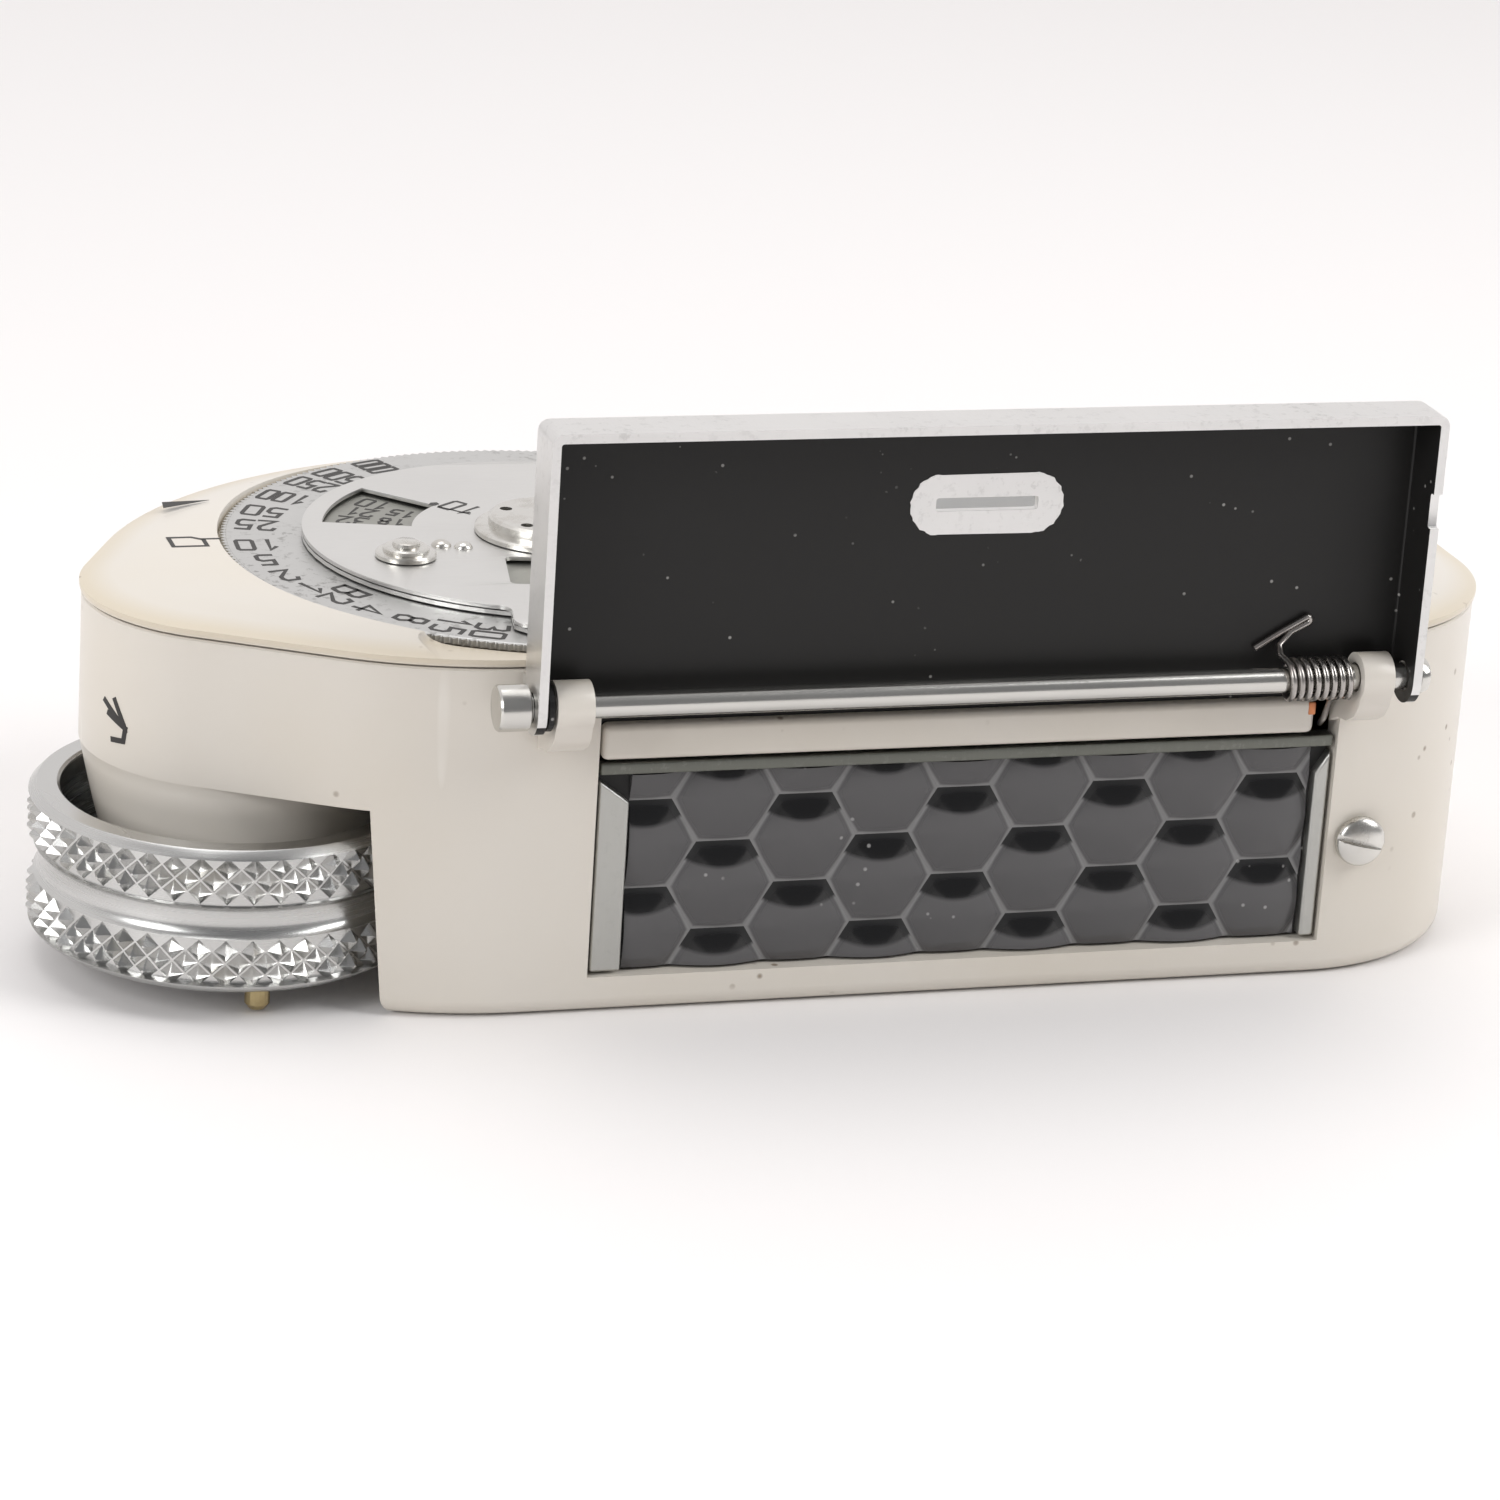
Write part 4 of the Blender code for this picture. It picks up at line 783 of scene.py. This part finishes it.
def makeLens():
    cell = hexCell()
    shape = lensShape
    x0, x1 = lensLow.x / mm, lensHigh.x / mm
    z0, z1 = lensLow.z / mm, lensHigh.z / mm
    values = {"Cell": cell, "Columns": shape["columns"], "Rows": shape["rows"],
              "Column Step": shape["columnStep"] * mm,
              "Row Step": shape["rowStep"] * mm, "Material": glassLens,
              "Start": (shape["start"][0] * mm, (front + 0.75) * mm, shape["start"][1] * mm)}
    grid = grown("lensGrid", gridTree("lensGrid"), values)
    bpy.data.objects.remove(cell)
    bm = bmesh.new()
    bm.from_mesh(grid.data)
    bpy.data.objects.remove(grid)
    sides = (((x0, 0, 0), (-1, 0, 0)), ((x1, 0, 0), (1, 0, 0)), ((0, 0, z0), (0, 0, -1)),
             ((0, 0, z1), (0, 0, 1)))
    for point, normal in sides:
        bmesh.ops.bisect_plane(bm, geom=bm.verts[:] + bm.edges[:] + bm.faces[:], plane_co=Vector(point) * mm,
                               plane_no=normal, clear_outer=True, dist=1e-7)
        bmesh.ops.holes_fill(bm, edges=bm.edges[:], sides=0)
    lens = meshObject("lens", bm, 60)
    finished(lens, "lensFacets", glassLens, "root", "lens_glass", "honeycomb_lens")
    slab = block("slab", (x0, front + 1.35, z0), (x1, lensHigh.y / mm, z1), 0.1, 2)
    finished(slab, "lensSlab", cellGrey, "root", "lens_glass")


def makeFrame():
    x0, x1, z0, z1 = frameLow.x / mm, frameHigh.x / mm, frameLow.z / mm, frameHigh.z / mm
    y0, y1 = frameLow.y / mm, frameHigh.y / mm
    inX0, inX1, inZ = lensLow.x / mm - 0.12, lensHigh.x / mm + 0.12, lensHigh.z / mm + 0.12
    slant = 1.3
    left = [(x0, z0), (inX0, z0), (inX0, inZ - slant), (x0, inZ - 0.25)]
    right = [(inX1, z0), (x1, z0), (x1, inZ - 0.25), (inX1, inZ - slant)]
    for name, wing in (("leftWing", left), ("rightWing", right)):
        piece = stack(name, [[(x, y0, z) for x, z in wing], [(x, y1, z) for x, z in wing]])
        soften(piece, 0.14, 3, 40.0)
        nodes = ("lens_frame",) if name == "leftWing" else ()
        finished(piece, name, frameMetal, "root", "steel", *nodes)
    finished(block("topStrip", (x0, y0 - 0.05, inZ), (x1, y1, z1), 0.08, 3), "topStrip", stripMetal, "root",
             "steel")
    finished(block("gapShade", (x0, y1 - 0.25, z0), (x1, y1, inZ)), "gapShade", black, "root", "black_paint")
    print("lens")


# ---- lid, hinge and catch
lidShape = {"sheet": 0.4, "face": 1.25, "round": 0.5, "slot": (4.6, 0.6, 8.0), "pad": (6.9, 2.7)}


def makeLid():
    shape = lidShape
    x0, x1 = lidLow.x / mm, lidHigh.x / mm
    y0, y1, top = lidLow.y / mm, lidHigh.y / mm, lidHigh.z / mm - 0.02
    face = rodY + shape["face"]
    thick = shape["sheet"]
    shell = block("shell", (x0, y0 - 1, rodZ - 2), (x1, y1, top), shape["round"], 5)
    carve(shell, block("trim", (x0 - 1, y0 - 3, rodZ - 4), (x1 + 1, y0, top + 1)),
          block("under", (x0 - 1, y0 - 3, rodZ - 4), (x1 + 1, y1 + 1, rodZ)))
    carve(shell, block("hollow", (x0 + thick, y0 - 1, rodZ - 3), (x1 - thick, face, top - thick), 0.12, 3))
    carve(shell, block("tail", (x0 + 0.02, face, rodZ - 0.7), (x1 - 0.02, y1 - 0.01, rodZ + 1)),
          operation="UNION")
    for x in (x0, x1 - thick):
        carve(shell, barrel("ear", 1.2, (x, rodY, rodZ), thick, "X", 64),
              block("heel", (x, rodY - 0.3, rodZ - 0.7), (x + thick, y1 - 0.05, rodZ + 1)), operation="UNION")
    middle = (x0 + x1) / 2
    width, high, above = shape["slot"]
    slot = ((middle - width / 2, face - 1, rodZ + above - high / 2),
            (middle + width / 2, y1 + 1, rodZ + above + high / 2))
    catch = 2 * rodZ - 6.48
    carve(shell, barrel("rodBore", 0.655, (x0 - 1, rodY, rodZ), x1 - x0 + 2, "X", 48),
          block("slot", *slot, 0.1, 2),
          block("catchCut", (x1 - 0.9, y0 - 1, catch - 1.35), (x1 + 1, y0 + 0.3, catch + 0.2), 0.12, 2))
    soften(shell, 0.09, 2, 50.0)
    finished(shell, "lidShell", lidSilver, "lid", "silver_satin", "lid")
    shell.data.materials.append(black)
    for poly in shell.data.polygons:
        spot = poly.center / mm
        across = x0 + 0.2 < spot.x < x1 - 0.2
        inside = across and rodZ - 1 < spot.z < top - 0.2 and y0 + 0.12 < spot.y < face + 0.05
        inward = (middle - spot.x) * poly.normal.x > 4 or poly.normal.y < -0.3 or poly.normal.z < -0.3
        if inside and inward:
            poly.material_index = 1
    half = shape["pad"][1] / 2
    reach = shape["pad"][0] / 2 - half
    oval = arc(middle + reach, rodZ + above, half, -90, 90, 24) + arc(middle - reach, rodZ + above, half, 90,
                                                                      270, 24)
    oval = [(x + 0.035 * math.sin(i * 2.4), z + 0.03 * math.sin(i * 1.7)) for i, (x, z) in enumerate(oval)]
    pad = stack("pad", [[(x, face + 0.02, z) for x, z in oval], [(x, face - 0.025, z) for x, z in oval]])
    carve(pad, block("padSlot", *slot, 0.1, 2))
    finished(pad, "bareOval", lidSilver, "lid", "silver_satin")
    print("lid")


springShape = {"wire": 0.14, "mean": 0.845, "pitch": 0.38, "turns": 7.5, "start": 28.9}


def makeHinge():
    x0, x1 = rodLow.x / mm, rodHigh.x / mm
    head, long = 1.4, x1 - x0
    profile = [(0, long), (0.5, long), (0.72, long - 0.12), (0.82, long - 0.35), (0.82, long - 0.55),
               (0.575, long - 0.6), (0.575, head), (0.92, head), (1.0, head - 0.08), (1.0, 0.12),
               (0.93, 0.03),
               (0.8, 0), (0, 0)]
    rod = lathe("rod", profile, (x0, rodY, rodZ), 64, "X")
    finished(rod, "hingePin", rodSteel, "root", "steel", "hinge_rod")
    shape = springShape
    steps = 28
    coil = []
    for i in range(round(shape["turns"] * steps) + 1):
        a = math.pi / 2 + 2 * math.pi * i / steps
        coil.append((shape["start"] + shape["pitch"] * i / steps, rodY + shape["mean"] * math.cos(a),
                     rodZ + shape["mean"] * math.sin(a)))
    y = rodY + lidShape["face"] - shape["wire"] - 0.06
    arm = [(27.75, y, 16.05), (28.9, y, 16.75), (30.1, y, 17.42)]
    arm += [(30.1 + 0.16 * math.sin(a), y, 17.28 + 0.16 * math.cos(a)) for a in (0.6, 1.3, 2.0, 2.6)]
    arm += [(29.4, y, 16.75), (28.85, y - 0.15, 16.2), (28.78, rodY + 0.45, rodZ + 0.95)]
    spring = wireMesh("spring", arm + coil[1:], shape["wire"], 4)
    finished(spring, "lidSpringWire", springSteel, "lid", "steel", "lid_spring")
    x = coil[-1][0] + 0.1
    foot = [(x, rodY - 0.3, rodZ - 0.8), (x, rodY + 0.5, rodZ - 1.0), (x, front - 0.35, rodZ - 1.6),
            (x, front + 0.1, rodZ - 2.6), (x, front + 0.5, rodZ - 3.0)]
    finished(wireMesh("foot", foot, shape["wire"], 4), "springFoot", springSteel, "root", "steel")


def makeCatch():
    dome = [(1.15 * math.sin(a), 0.28 + 0.42 * math.cos(a)) for a in [math.pi / 2 * i / 8 for i in range(9)]]
    screw = lathe("screw", dome + [(1.15, 0.1), (0.6, 0.1), (0.6, -1.5), (0, -1.5)], (34.1, front, 6.48), 64,
                  "-Y")
    slot = block("screwSlot", (-2, -0.45, -0.13), (2, 0.45, 0.13))
    middle = Matrix.Translation(Vector((34.1, front - 0.7, 6.48)) * mm)
    slot.data.transform(middle @ Matrix.Rotation(math.radians(14), 4, "Y"))
    carve(screw, slot)
    soften(screw, 0.05, 2, 40.0)
    finished(screw, "catchScrew", screwSteel, "root", "steel", "catch_screw")
    print("hinge")


# ---- figures drawn as strokes in a box one unit high
strokes = {
    "0": [[(0.08, 0), (0.62, 0), (0.7, 0.1), (0.7, 0.9), (0.62, 1), (0.08, 1), (0, 0.9), (0, 0.1),
           (0.08, 0)]],
    "1": [[(0.05, 0.72), (0.3, 1), (0.3, 0)]],
    "2": [[(0, 0.8), (0.08, 0.98), (0.55, 0.98), (0.65, 0.82), (0.62, 0.6), (0, 0), (0.7, 0)]],
    "3": [[(0, 0.95), (0.5, 1), (0.62, 0.85), (0.6, 0.6), (0.3, 0.52), (0.65, 0.42), (0.68, 0.15), (0.5, 0),
           (0, 0.04)]],
    "4": [[(0.5, 0), (0.5, 1), (0, 0.28), (0.7, 0.28)]],
    "5": [[(0.62, 1), (0.1, 1), (0.05, 0.56), (0.5, 0.6), (0.66, 0.45), (0.62, 0.1), (0.45, 0), (0, 0.04)]],
    "8": [[(0.15, 0.52), (0.02, 0.75), (0.12, 1), (0.55, 1), (0.65, 0.75), (0.5, 0.52), (0.15, 0.52),
           (0, 0.25),
           (0.12, 0), (0.55, 0), (0.68, 0.25), (0.5, 0.52)]],
    "B": [[(0, 0), (0, 1), (0.5, 1), (0.62, 0.85), (0.55, 0.55), (0, 0.52)],
          [(0.5, 0.53), (0.68, 0.35), (0.6, 0.05), (0.5, 0), (0, 0)]],
    "o": [[(0.05, 0.75), (0.2, 0.7), (0.3, 0.82), (0.2, 0.98), (0.05, 0.93), (0.05, 0.75)]],
}


def strokeMesh(bm, line, width, z, thick):
    half = width / 2
    closed = line[0] == line[-1]
    left, right = [], []
    for i, (x, y) in enumerate(line):
        before = line[i - 1] if i else (line[-2] if closed else line[0])
        after = line[i + 1] if i + 1 < len(line) else (line[1] if closed else line[-1])
        ax, ay = x - before[0], y - before[1]
        bx, by = after[0] - x, after[1] - y
        la, lb = math.hypot(ax, ay) or 1, math.hypot(bx, by) or 1
        tx, ty = ax / la + bx / lb, ay / la + by / lb
        lt = math.hypot(tx, ty) or 1
        nx, ny = -ty / lt, tx / lt
        stretch = half / max(0.6, abs(nx * -ay / la + ny * ax / la) if ax or ay else 1)
        endX, endY = 0, 0
        if not i and not closed:
            endX, endY = -tx / lt * half, -ty / lt * half
        if i + 1 == len(line) and not closed:
            endX, endY = tx / lt * half, ty / lt * half
        left.append((x + nx * stretch + endX, y + ny * stretch + endY))
        right.append((x - nx * stretch + endX, y - ny * stretch + endY))
    levels = [[bm.verts.new((x * mm, y * mm, h * mm)) for x, y in side] for h in (z, z + thick)
              for side in (left, right)]
    lowL, lowR, topL, topR = levels
    for i in range(len(line) - 1):
        bm.faces.new((topL[i], topR[i], topR[i + 1], topL[i + 1]))
        bm.faces.new((lowL[i], lowL[i + 1], lowR[i + 1], lowR[i]))
        bm.faces.new((lowL[i], topL[i], topL[i + 1], lowL[i + 1]))
        bm.faces.new((lowR[i], lowR[i + 1], topR[i + 1], topR[i]))
    for i in (0, -1):
        bm.faces.new((lowL[i], topL[i], topR[i], lowR[i]))
    bmesh.ops.remove_doubles(bm, verts=bm.verts, dist=1e-9)


def inked(bm, name, body="root"):
    bmesh.ops.recalc_face_normals(bm, faces=bm.faces[:])
    finished(meshObject(name, bm, 0), name, inkBlack, body, "black_paint")


inkThick = 0.012


def dialWord(bm, word, radius, angle, z, size=1.4, width=0.2, squeeze=0.78):
    out = Vector((math.cos(math.radians(angle)), math.sin(math.radians(angle))))
    side = Vector((-out.y, out.x))
    pitch = size * squeeze * 0.98
    length = pitch * len(word) - (pitch - 0.7 * size * squeeze)
    for i, sign in enumerate(word):
        for line in strokes[sign]:
            points = []
            for x, y in line:
                along = i * pitch + x * size * squeeze - length / 2
                up = (y - 0.5) * size
                spot = out * (radius + along) + side * up
                points.append((spot.x, spot.y))
            strokeMesh(bm, points, width, z, inkThick)


dialFigures = (("1000", 113), ("500", 123.5), ("250", 132), ("100", 143), ("50", 153.7), ("25", 163),
               ("10", 176),
               ("5", 185.4), ("2", 195.4), ("1", 204), ("2", 211.6), ("4", 220), ("8", 229), ("15", 237),
               ("30", 244.6))


def serrationTree(name):
    sizes = [("Count", "Int"), ("Radius", "Float"), ("Middle", "Float"),
             ("Width", "Float"), ("Height", "Float"),
             ("Material", "Material")]
    tree, given = newTree(name, sizes)
    index = add(tree, "GeometryNodeInputIndex")
    angle = index.maths("DIVIDE", given["Count"]) * (2 * math.pi)
    spot = add(tree, "ShaderNodeCombineXYZ", {}, {0: angle.maths("COSINE") * given["Radius"],
                                                  1: angle.maths("SINE") * given["Radius"],
                                                  2: given["Middle"]})
    line = add(tree, "GeometryNodeMeshLine", {}, {"Count": given["Count"]})
    points = add(tree, "GeometryNodeSetPosition", {}, {0: line, "Position": spot})
    turn = add(tree, "ShaderNodeCombineXYZ", {}, {2: angle + math.pi / 4})
    size = add(tree, "ShaderNodeCombineXYZ", {}, {0: given["Width"], 1: given["Width"], 2: given["Height"]})
    tooth = add(tree, "GeometryNodeMeshCube", {}, {"Size": size})
    copies = add(tree, "GeometryNodeInstanceOnPoints", {}, {0: points, 2: tooth, "Rotation": turn})
    closeTree(tree, copies, given["Material"])
    return tree


ringShape = {"serrations": 230, "tooth": 0.26, "figureR": 13.3}


def makeDial():
    r = (ringHigh.x - ringLow.x) / 2 / mm
    low, top = ringLow.z / mm, ringHigh.z / mm
    body = r - 0.16
    profile = [(body, low + 0.02), (body, top - 0.1), (body - 0.1, top - 0.02), (10.2, top - 0.02),
               (10.2, top - 0.1),
               (3.6, top - 0.1), (3.6, low)]
    ring = lathe("ring", profile, (0, 0, 0), 200)
    finished(evenNormals(ring), "dialRing", ringMetal, "dial", "aluminium", "dial_ring")
    tree = serrationTree("rimTeeth")
    values = {"Count": ringShape["serrations"], "Radius": (body - 0.02) * mm, "Middle": (low + top) / 2 * mm,
              "Width": ringShape["tooth"] * mm, "Height": (top - low - 0.08) * mm, "Material": ringMetal}
    finished(grown("rimTeeth", tree, values), "rimTeeth", ringMetal, "dial", "aluminium")
    bm = bmesh.new()
    flat = top - 0.022
    for word, angle in dialFigures:
        dialWord(bm, word, ringShape["figureR"] - 0.05 * len(word), angle, flat,
                 squeeze=(0.78, 0.74, 0.56, 0.45)[len(word) - 1])
    dialWord(bm, "B", 12.1, 210, flat, 1.6, 0.22)
    inked(bm, "dialFigures", "dial")


filmWords = (("10", 9.0, 139, 1.1), ("21", 9.0, 148, 1.1), ("32", 9.0, 157, 1.1), ("40", 9.0, 164, 1.1),
             ("15", 7.3, 143, 0.9), ("18", 7.3, 154, 0.9))
nutShape = {"drop": 0.3, "flange": 0.6, "holeR": 0.28, "holesAt": 2.1, "angles": (45, 150, 225, 330)}
filmShape = {"fan": (6.2, 10.2, 133, 166), "slot": (3.7, 7.6, -100, 2.3), "tab": (13.2, 2.5, 0.7)}


def makeFilm():
    z0, z1 = plateLow.z / mm, plateHigh.z / mm
    r0 = (plateHigh.x - plateLow.x) / 2 / mm
    inner, far, start, end = filmShape["fan"]
    fan = arc(0, 0, far, start, end, 24) + arc(0, 0, inner, end, start, 18)
    near, far, turn, half = filmShape["slot"]
    out = Vector((math.cos(math.radians(turn)), math.sin(math.radians(turn))))
    side = Vector((-out.y, out.x))
    heading = math.degrees(math.atan2(out.y, out.x))
    slot = []
    for r, across, begin in ((far, half, 0), (near, half, 90), (near, -half, 180), (far, -half, 270)):
        cx = r - 0.35 * (1 if r == far else -1)
        cy = across - 0.35 * (1 if across > 0 else -1)
        slot += [tuple(out * x + side * y) for x, y in arc(cx, cy, 0.35, begin, begin + 90, 6)]
    reach, wide, corner = filmShape["tab"]
    spread = math.degrees(math.asin((wide + corner) / r0))
    outer = arc(0, 0, r0, heading + spread, heading + 360 - spread, 170)
    foot = math.sqrt(r0 ** 2 - (wide + corner) ** 2)
    tab = arc(foot + corner, -wide - corner, corner, 180, 90, 6)[1:] + arc(reach - corner, -wide + corner,
                                                                           corner, -90, 0, 6)
    tab += [(x, -y) for x, y in tab[::-1]]
    outer += [tuple(out * x + side * y) for x, y in tab]
    hole = arc(0, 0, 0.9, 0, 360, 32)[:-1]
    plate = sheet("filmPlate", [outer, fan, slot, hole], z0, z1)
    soften(plate, 0.05, 2, 40.0)
    finished(plate, "filmPlateTop", silver, "film_plate_body", "aluminium", "film_plate")
    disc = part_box("film_disc")
    discTop = disc[1].z / mm
    under = lathe("filmDisc", [(10.45, disc[0].z / mm), (10.45, discTop - 0.015), (0.95, discTop - 0.015),
                               (0.95, disc[0].z / mm)], (0, 0, 0), 120)
    finished(under, "filmDisc", discMetal, "dial", "white_paint", "film_disc")
    bm = bmesh.new()
    for word, radius, angle, size in filmWords:
        dialWord(bm, word, radius, angle, discTop - 0.014, size, 0.15, 0.7)
    inked(bm, "filmFigures", "dial")
    bm = bmesh.new()
    dialWord(bm, "10o", 5.6, 128, z1 - 0.002, 1.3, 0.17, 0.7)
    turn = math.radians(134)
    strokeMesh(bm, [(4.3 * math.cos(turn), 4.3 * math.sin(turn)),
                    (5.9 * math.cos(turn), 5.9 * math.sin(turn))], 0.12, z1 - 0.002, inkThick)
    inked(bm, "plateFigures", "film_plate_body")
    for name, x, y, size in (("domeA", -5.35, -1.44, 0.45), ("domeB", -4.44, -1.82, 0.42)):
        profile = [(size * math.sin(a), z1 - 0.02 + 0.3 * math.cos(a))
                   for a in [math.pi / 2 * i / 6 for i in range(7)]]
        dome = lathe(name, profile + [(0, z1 - 0.05)], (x, y, 0), 32)
        finished(dome, name, screwSteel, "film_plate_body", "steel")
    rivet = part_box("plate_rivet")
    rx, ry = (rivet[0].x + rivet[1].x) / 2 / mm, (rivet[0].y + rivet[1].y) / 2 / mm
    b, t = rivet[0].z / mm, rivet[1].z / mm
    wide = (rivet[1].x - rivet[0].x) / 2 / mm
    profile = [(0, t), (wide * 0.36, t), (wide * 0.44, t - 0.05), (wide * 0.46, t - 0.2),
               (wide * 0.7, t - 0.23),
               (wide * 0.76, t - 0.3), (wide * 0.77, t - 0.44), (wide * 0.96, t - 0.47), (wide, t - 0.54),
               (wide, b),
               (0, b)]
    finished(lathe("rivet", profile, (rx, ry, 0), 48), "turnedRivet", screwSteel, "film_plate_body", "steel",
             "plate_rivet")
    b, t = nutLow.z / mm, nutHigh.z / mm - nutShape["drop"]
    wide = (nutHigh.x - nutLow.x) / 2 / mm
    body = wide - nutShape["flange"]
    profile = [(0, t), (body - 0.14, t), (body, t - 0.12), (body, b + 0.34), (wide - 0.08, b + 0.27),
               (wide, b + 0.2),
               (wide, b), (0, b)]
    nut = lathe("nut", profile, (0, 0, 0), 96)
    for degrees in nutShape["angles"]:
        turn = math.radians(degrees)
        spot = (nutShape["holesAt"] * math.cos(turn), nutShape["holesAt"] * math.sin(turn), t - 0.6)
        carve(nut, barrel("nutHole", nutShape["holeR"], spot, 2, steps=24))
    finished(evenNormals(nut), "hubNut", screwSteel, "root", "steel", "hub_nut")
    print("dial")


def makeMarks():
    z = bodyShape["top"] - 0.003
    corners = ((-16.4, 6.0), (-14.1, 7.05), (-16.3, 6.9))
    tri = stack("tri", [[(x, y, height) for x, y in corners] for height in (z, z + inkThick)])
    finished(tri, "pointerMark", inkBlack, "root", "black_paint")
    bm = bmesh.new()
    strokeMesh(bm, [(-17.0, 0.3), (-15.5, 0.3), (-15.5, 1.2), (-16.0, 1.6), (-17.0, 1.6), (-17.0, 0.3)], 0.2,
               z, inkThick)
    strokeMesh(bm, [(-15.5, 1.3), (-14.8, 1.3)], 0.18, z, inkThick)
    inked(bm, "sideMark")
    nx, ny, nr = bodyShape["nose"]
    bm = bmesh.new()
    arrow = ([(-0.9, 12.1), (0.5, 11.2), (-0.2, 12.3)], [(0.5, 11.2), (0.4, 10.6), (-0.3, 10.5)],
             [(-0.6, 11.6), (0.5, 11.2)])
    for line in arrow:
        fine = []
        for (x0, z0), (x1, z1) in zip(line, line[1:]):
            fine += [(x0 + (x1 - x0) * t / 10, z0 + (z1 - z0) * t / 10) for t in range(10)]
        strokeMesh(bm, fine + [line[-1]], 0.24, 0, 0.03)
    bmesh.ops.recalc_face_normals(bm, faces=bm.faces[:])
    for vert in bm.verts:
        along, up, lift = vert.co / mm
        turn = math.radians(-150) + along / nr
        vert.co = Vector((nx + (nr - 0.004 + lift) * math.cos(turn),
                          ny + (nr - 0.004 + lift) * math.sin(turn), up)) * mm
    inked(bm, "noseArrow")


makeWheel()
makeLens()
makeFrame()
makeLid()
makeHinge()
makeCatch()
makeDial()
makeFilm()
makeMarks()


# ---- materials for the pieces kept from the frame
keptLooks = ((silver, "base_plate film_spacer shoe_foot"),
             (screwSteel, "base_screw_1 base_screw_2 base_screw_3 dial_stud foot_screw_1 foot_screw_2 "
                          "idler_post needle_staff wheel_screw wheel_shaft"),
             (boardBrown, "cell_backing"),
             (brass, "cell_contact chassis_post_1 chassis_post_2 chassis_post_3 counterweight "
                     "coupling_pin dial_gear dial_hub idler_gear jewel_screw_bottom jewel_screw_top "
                     "lift_collar movement_frame wheel_bush wheel_pinion zero_screw"),
             (black, "chassis_plate hinge_washer"),
             (springSteel, "hairspring lift_spring"),
             (magnetGrey, "movement_magnet pole_core"),
             (copper, "moving_coil"),
             (inkBlack, "needle"),
             (whitePaint, "scale_plate"),
             (cellGrey, "selenium_cell"),
             (clearGlass, "window_glass"))
for look, nodes in keptLooks:
    for node in nodes.split():
        kept = bpy.data.objects[node]
        kept.data.materials.clear()
        kept.data.materials.append(look)


# ---- floor, light and camera
studio = {"floor": (0.85, 0.83, 0.825), "behind": (0.93, 0.905, 0.90), "front": (0.24, 0.24, 0.245)}
camera = {"at": (-0.06018, -0.21967, 0.08758), "turn": (70.5642, -3.5837, -16.4669), "lens": 127.55}
lamps = (("leftBox", (-0.34, -0.20, 0.22), (0.16, 0.24), 0.85),
         ("rightBox", (0.30, -0.16, 0.26), (0.18, 0.26), 0.9),
         ("topBox", (-0.02, 0.06, 0.45), (0.34, 0.3), 0.55))


def makeStage():
    low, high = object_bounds()
    bm = bmesh.new()
    bmesh.ops.create_grid(bm, x_segments=1, y_segments=1, size=1.6)
    floor = meshObject("floor", bm, 0)
    paper, tree, shader = newMaterial("paper", studio["floor"], 0.6)
    floor.data.materials.append(paper)
    floor.location.z = low[2] - 0.00002
    world = bpy.data.worlds.new("studio")
    world.use_nodes = True
    tree = world.node_tree
    sky = tree.nodes["Background"]
    heading = add(tree, "ShaderNodeTexCoord", out=0)
    depth = add(tree, "ShaderNodeSeparateXYZ", {}, {0: heading}, out=1)
    glow = blendColour(tree, depth.above(-0.05, 0.35), studio["front"], studio["behind"])
    tree.links.new(glow.socket, sky.inputs["Color"])
    bpy.context.scene.world = world
    bpy.context.scene.view_settings.view_transform = "Standard"
    target = Vector((0.006, 0.0, 0.010))
    for name, where, size, power in lamps:
        data = bpy.data.lights.new(name, "AREA")
        data.shape = "RECTANGLE"
        data.size, data.size_y = size
        data.energy = power
        lamp = bpy.data.objects.new(name, data)
        lamp.location = where
        lamp.rotation_euler = (target - Vector(where)).to_track_quat("-Z", "Y").to_euler()
        bpy.context.scene.collection.objects.link(lamp)
    data = bpy.data.cameras.new("camera")
    data.lens, data.sensor_width = camera["lens"], 36
    data.clip_start, data.clip_end = 0.01, 10
    eye = bpy.data.objects.new("camera", data)
    eye.location = camera["at"]
    eye.rotation_euler = [math.radians(a) for a in camera["turn"]]
    bpy.context.scene.collection.objects.link(eye)
    bpy.context.scene.camera = eye


makeStage()
print("stage")
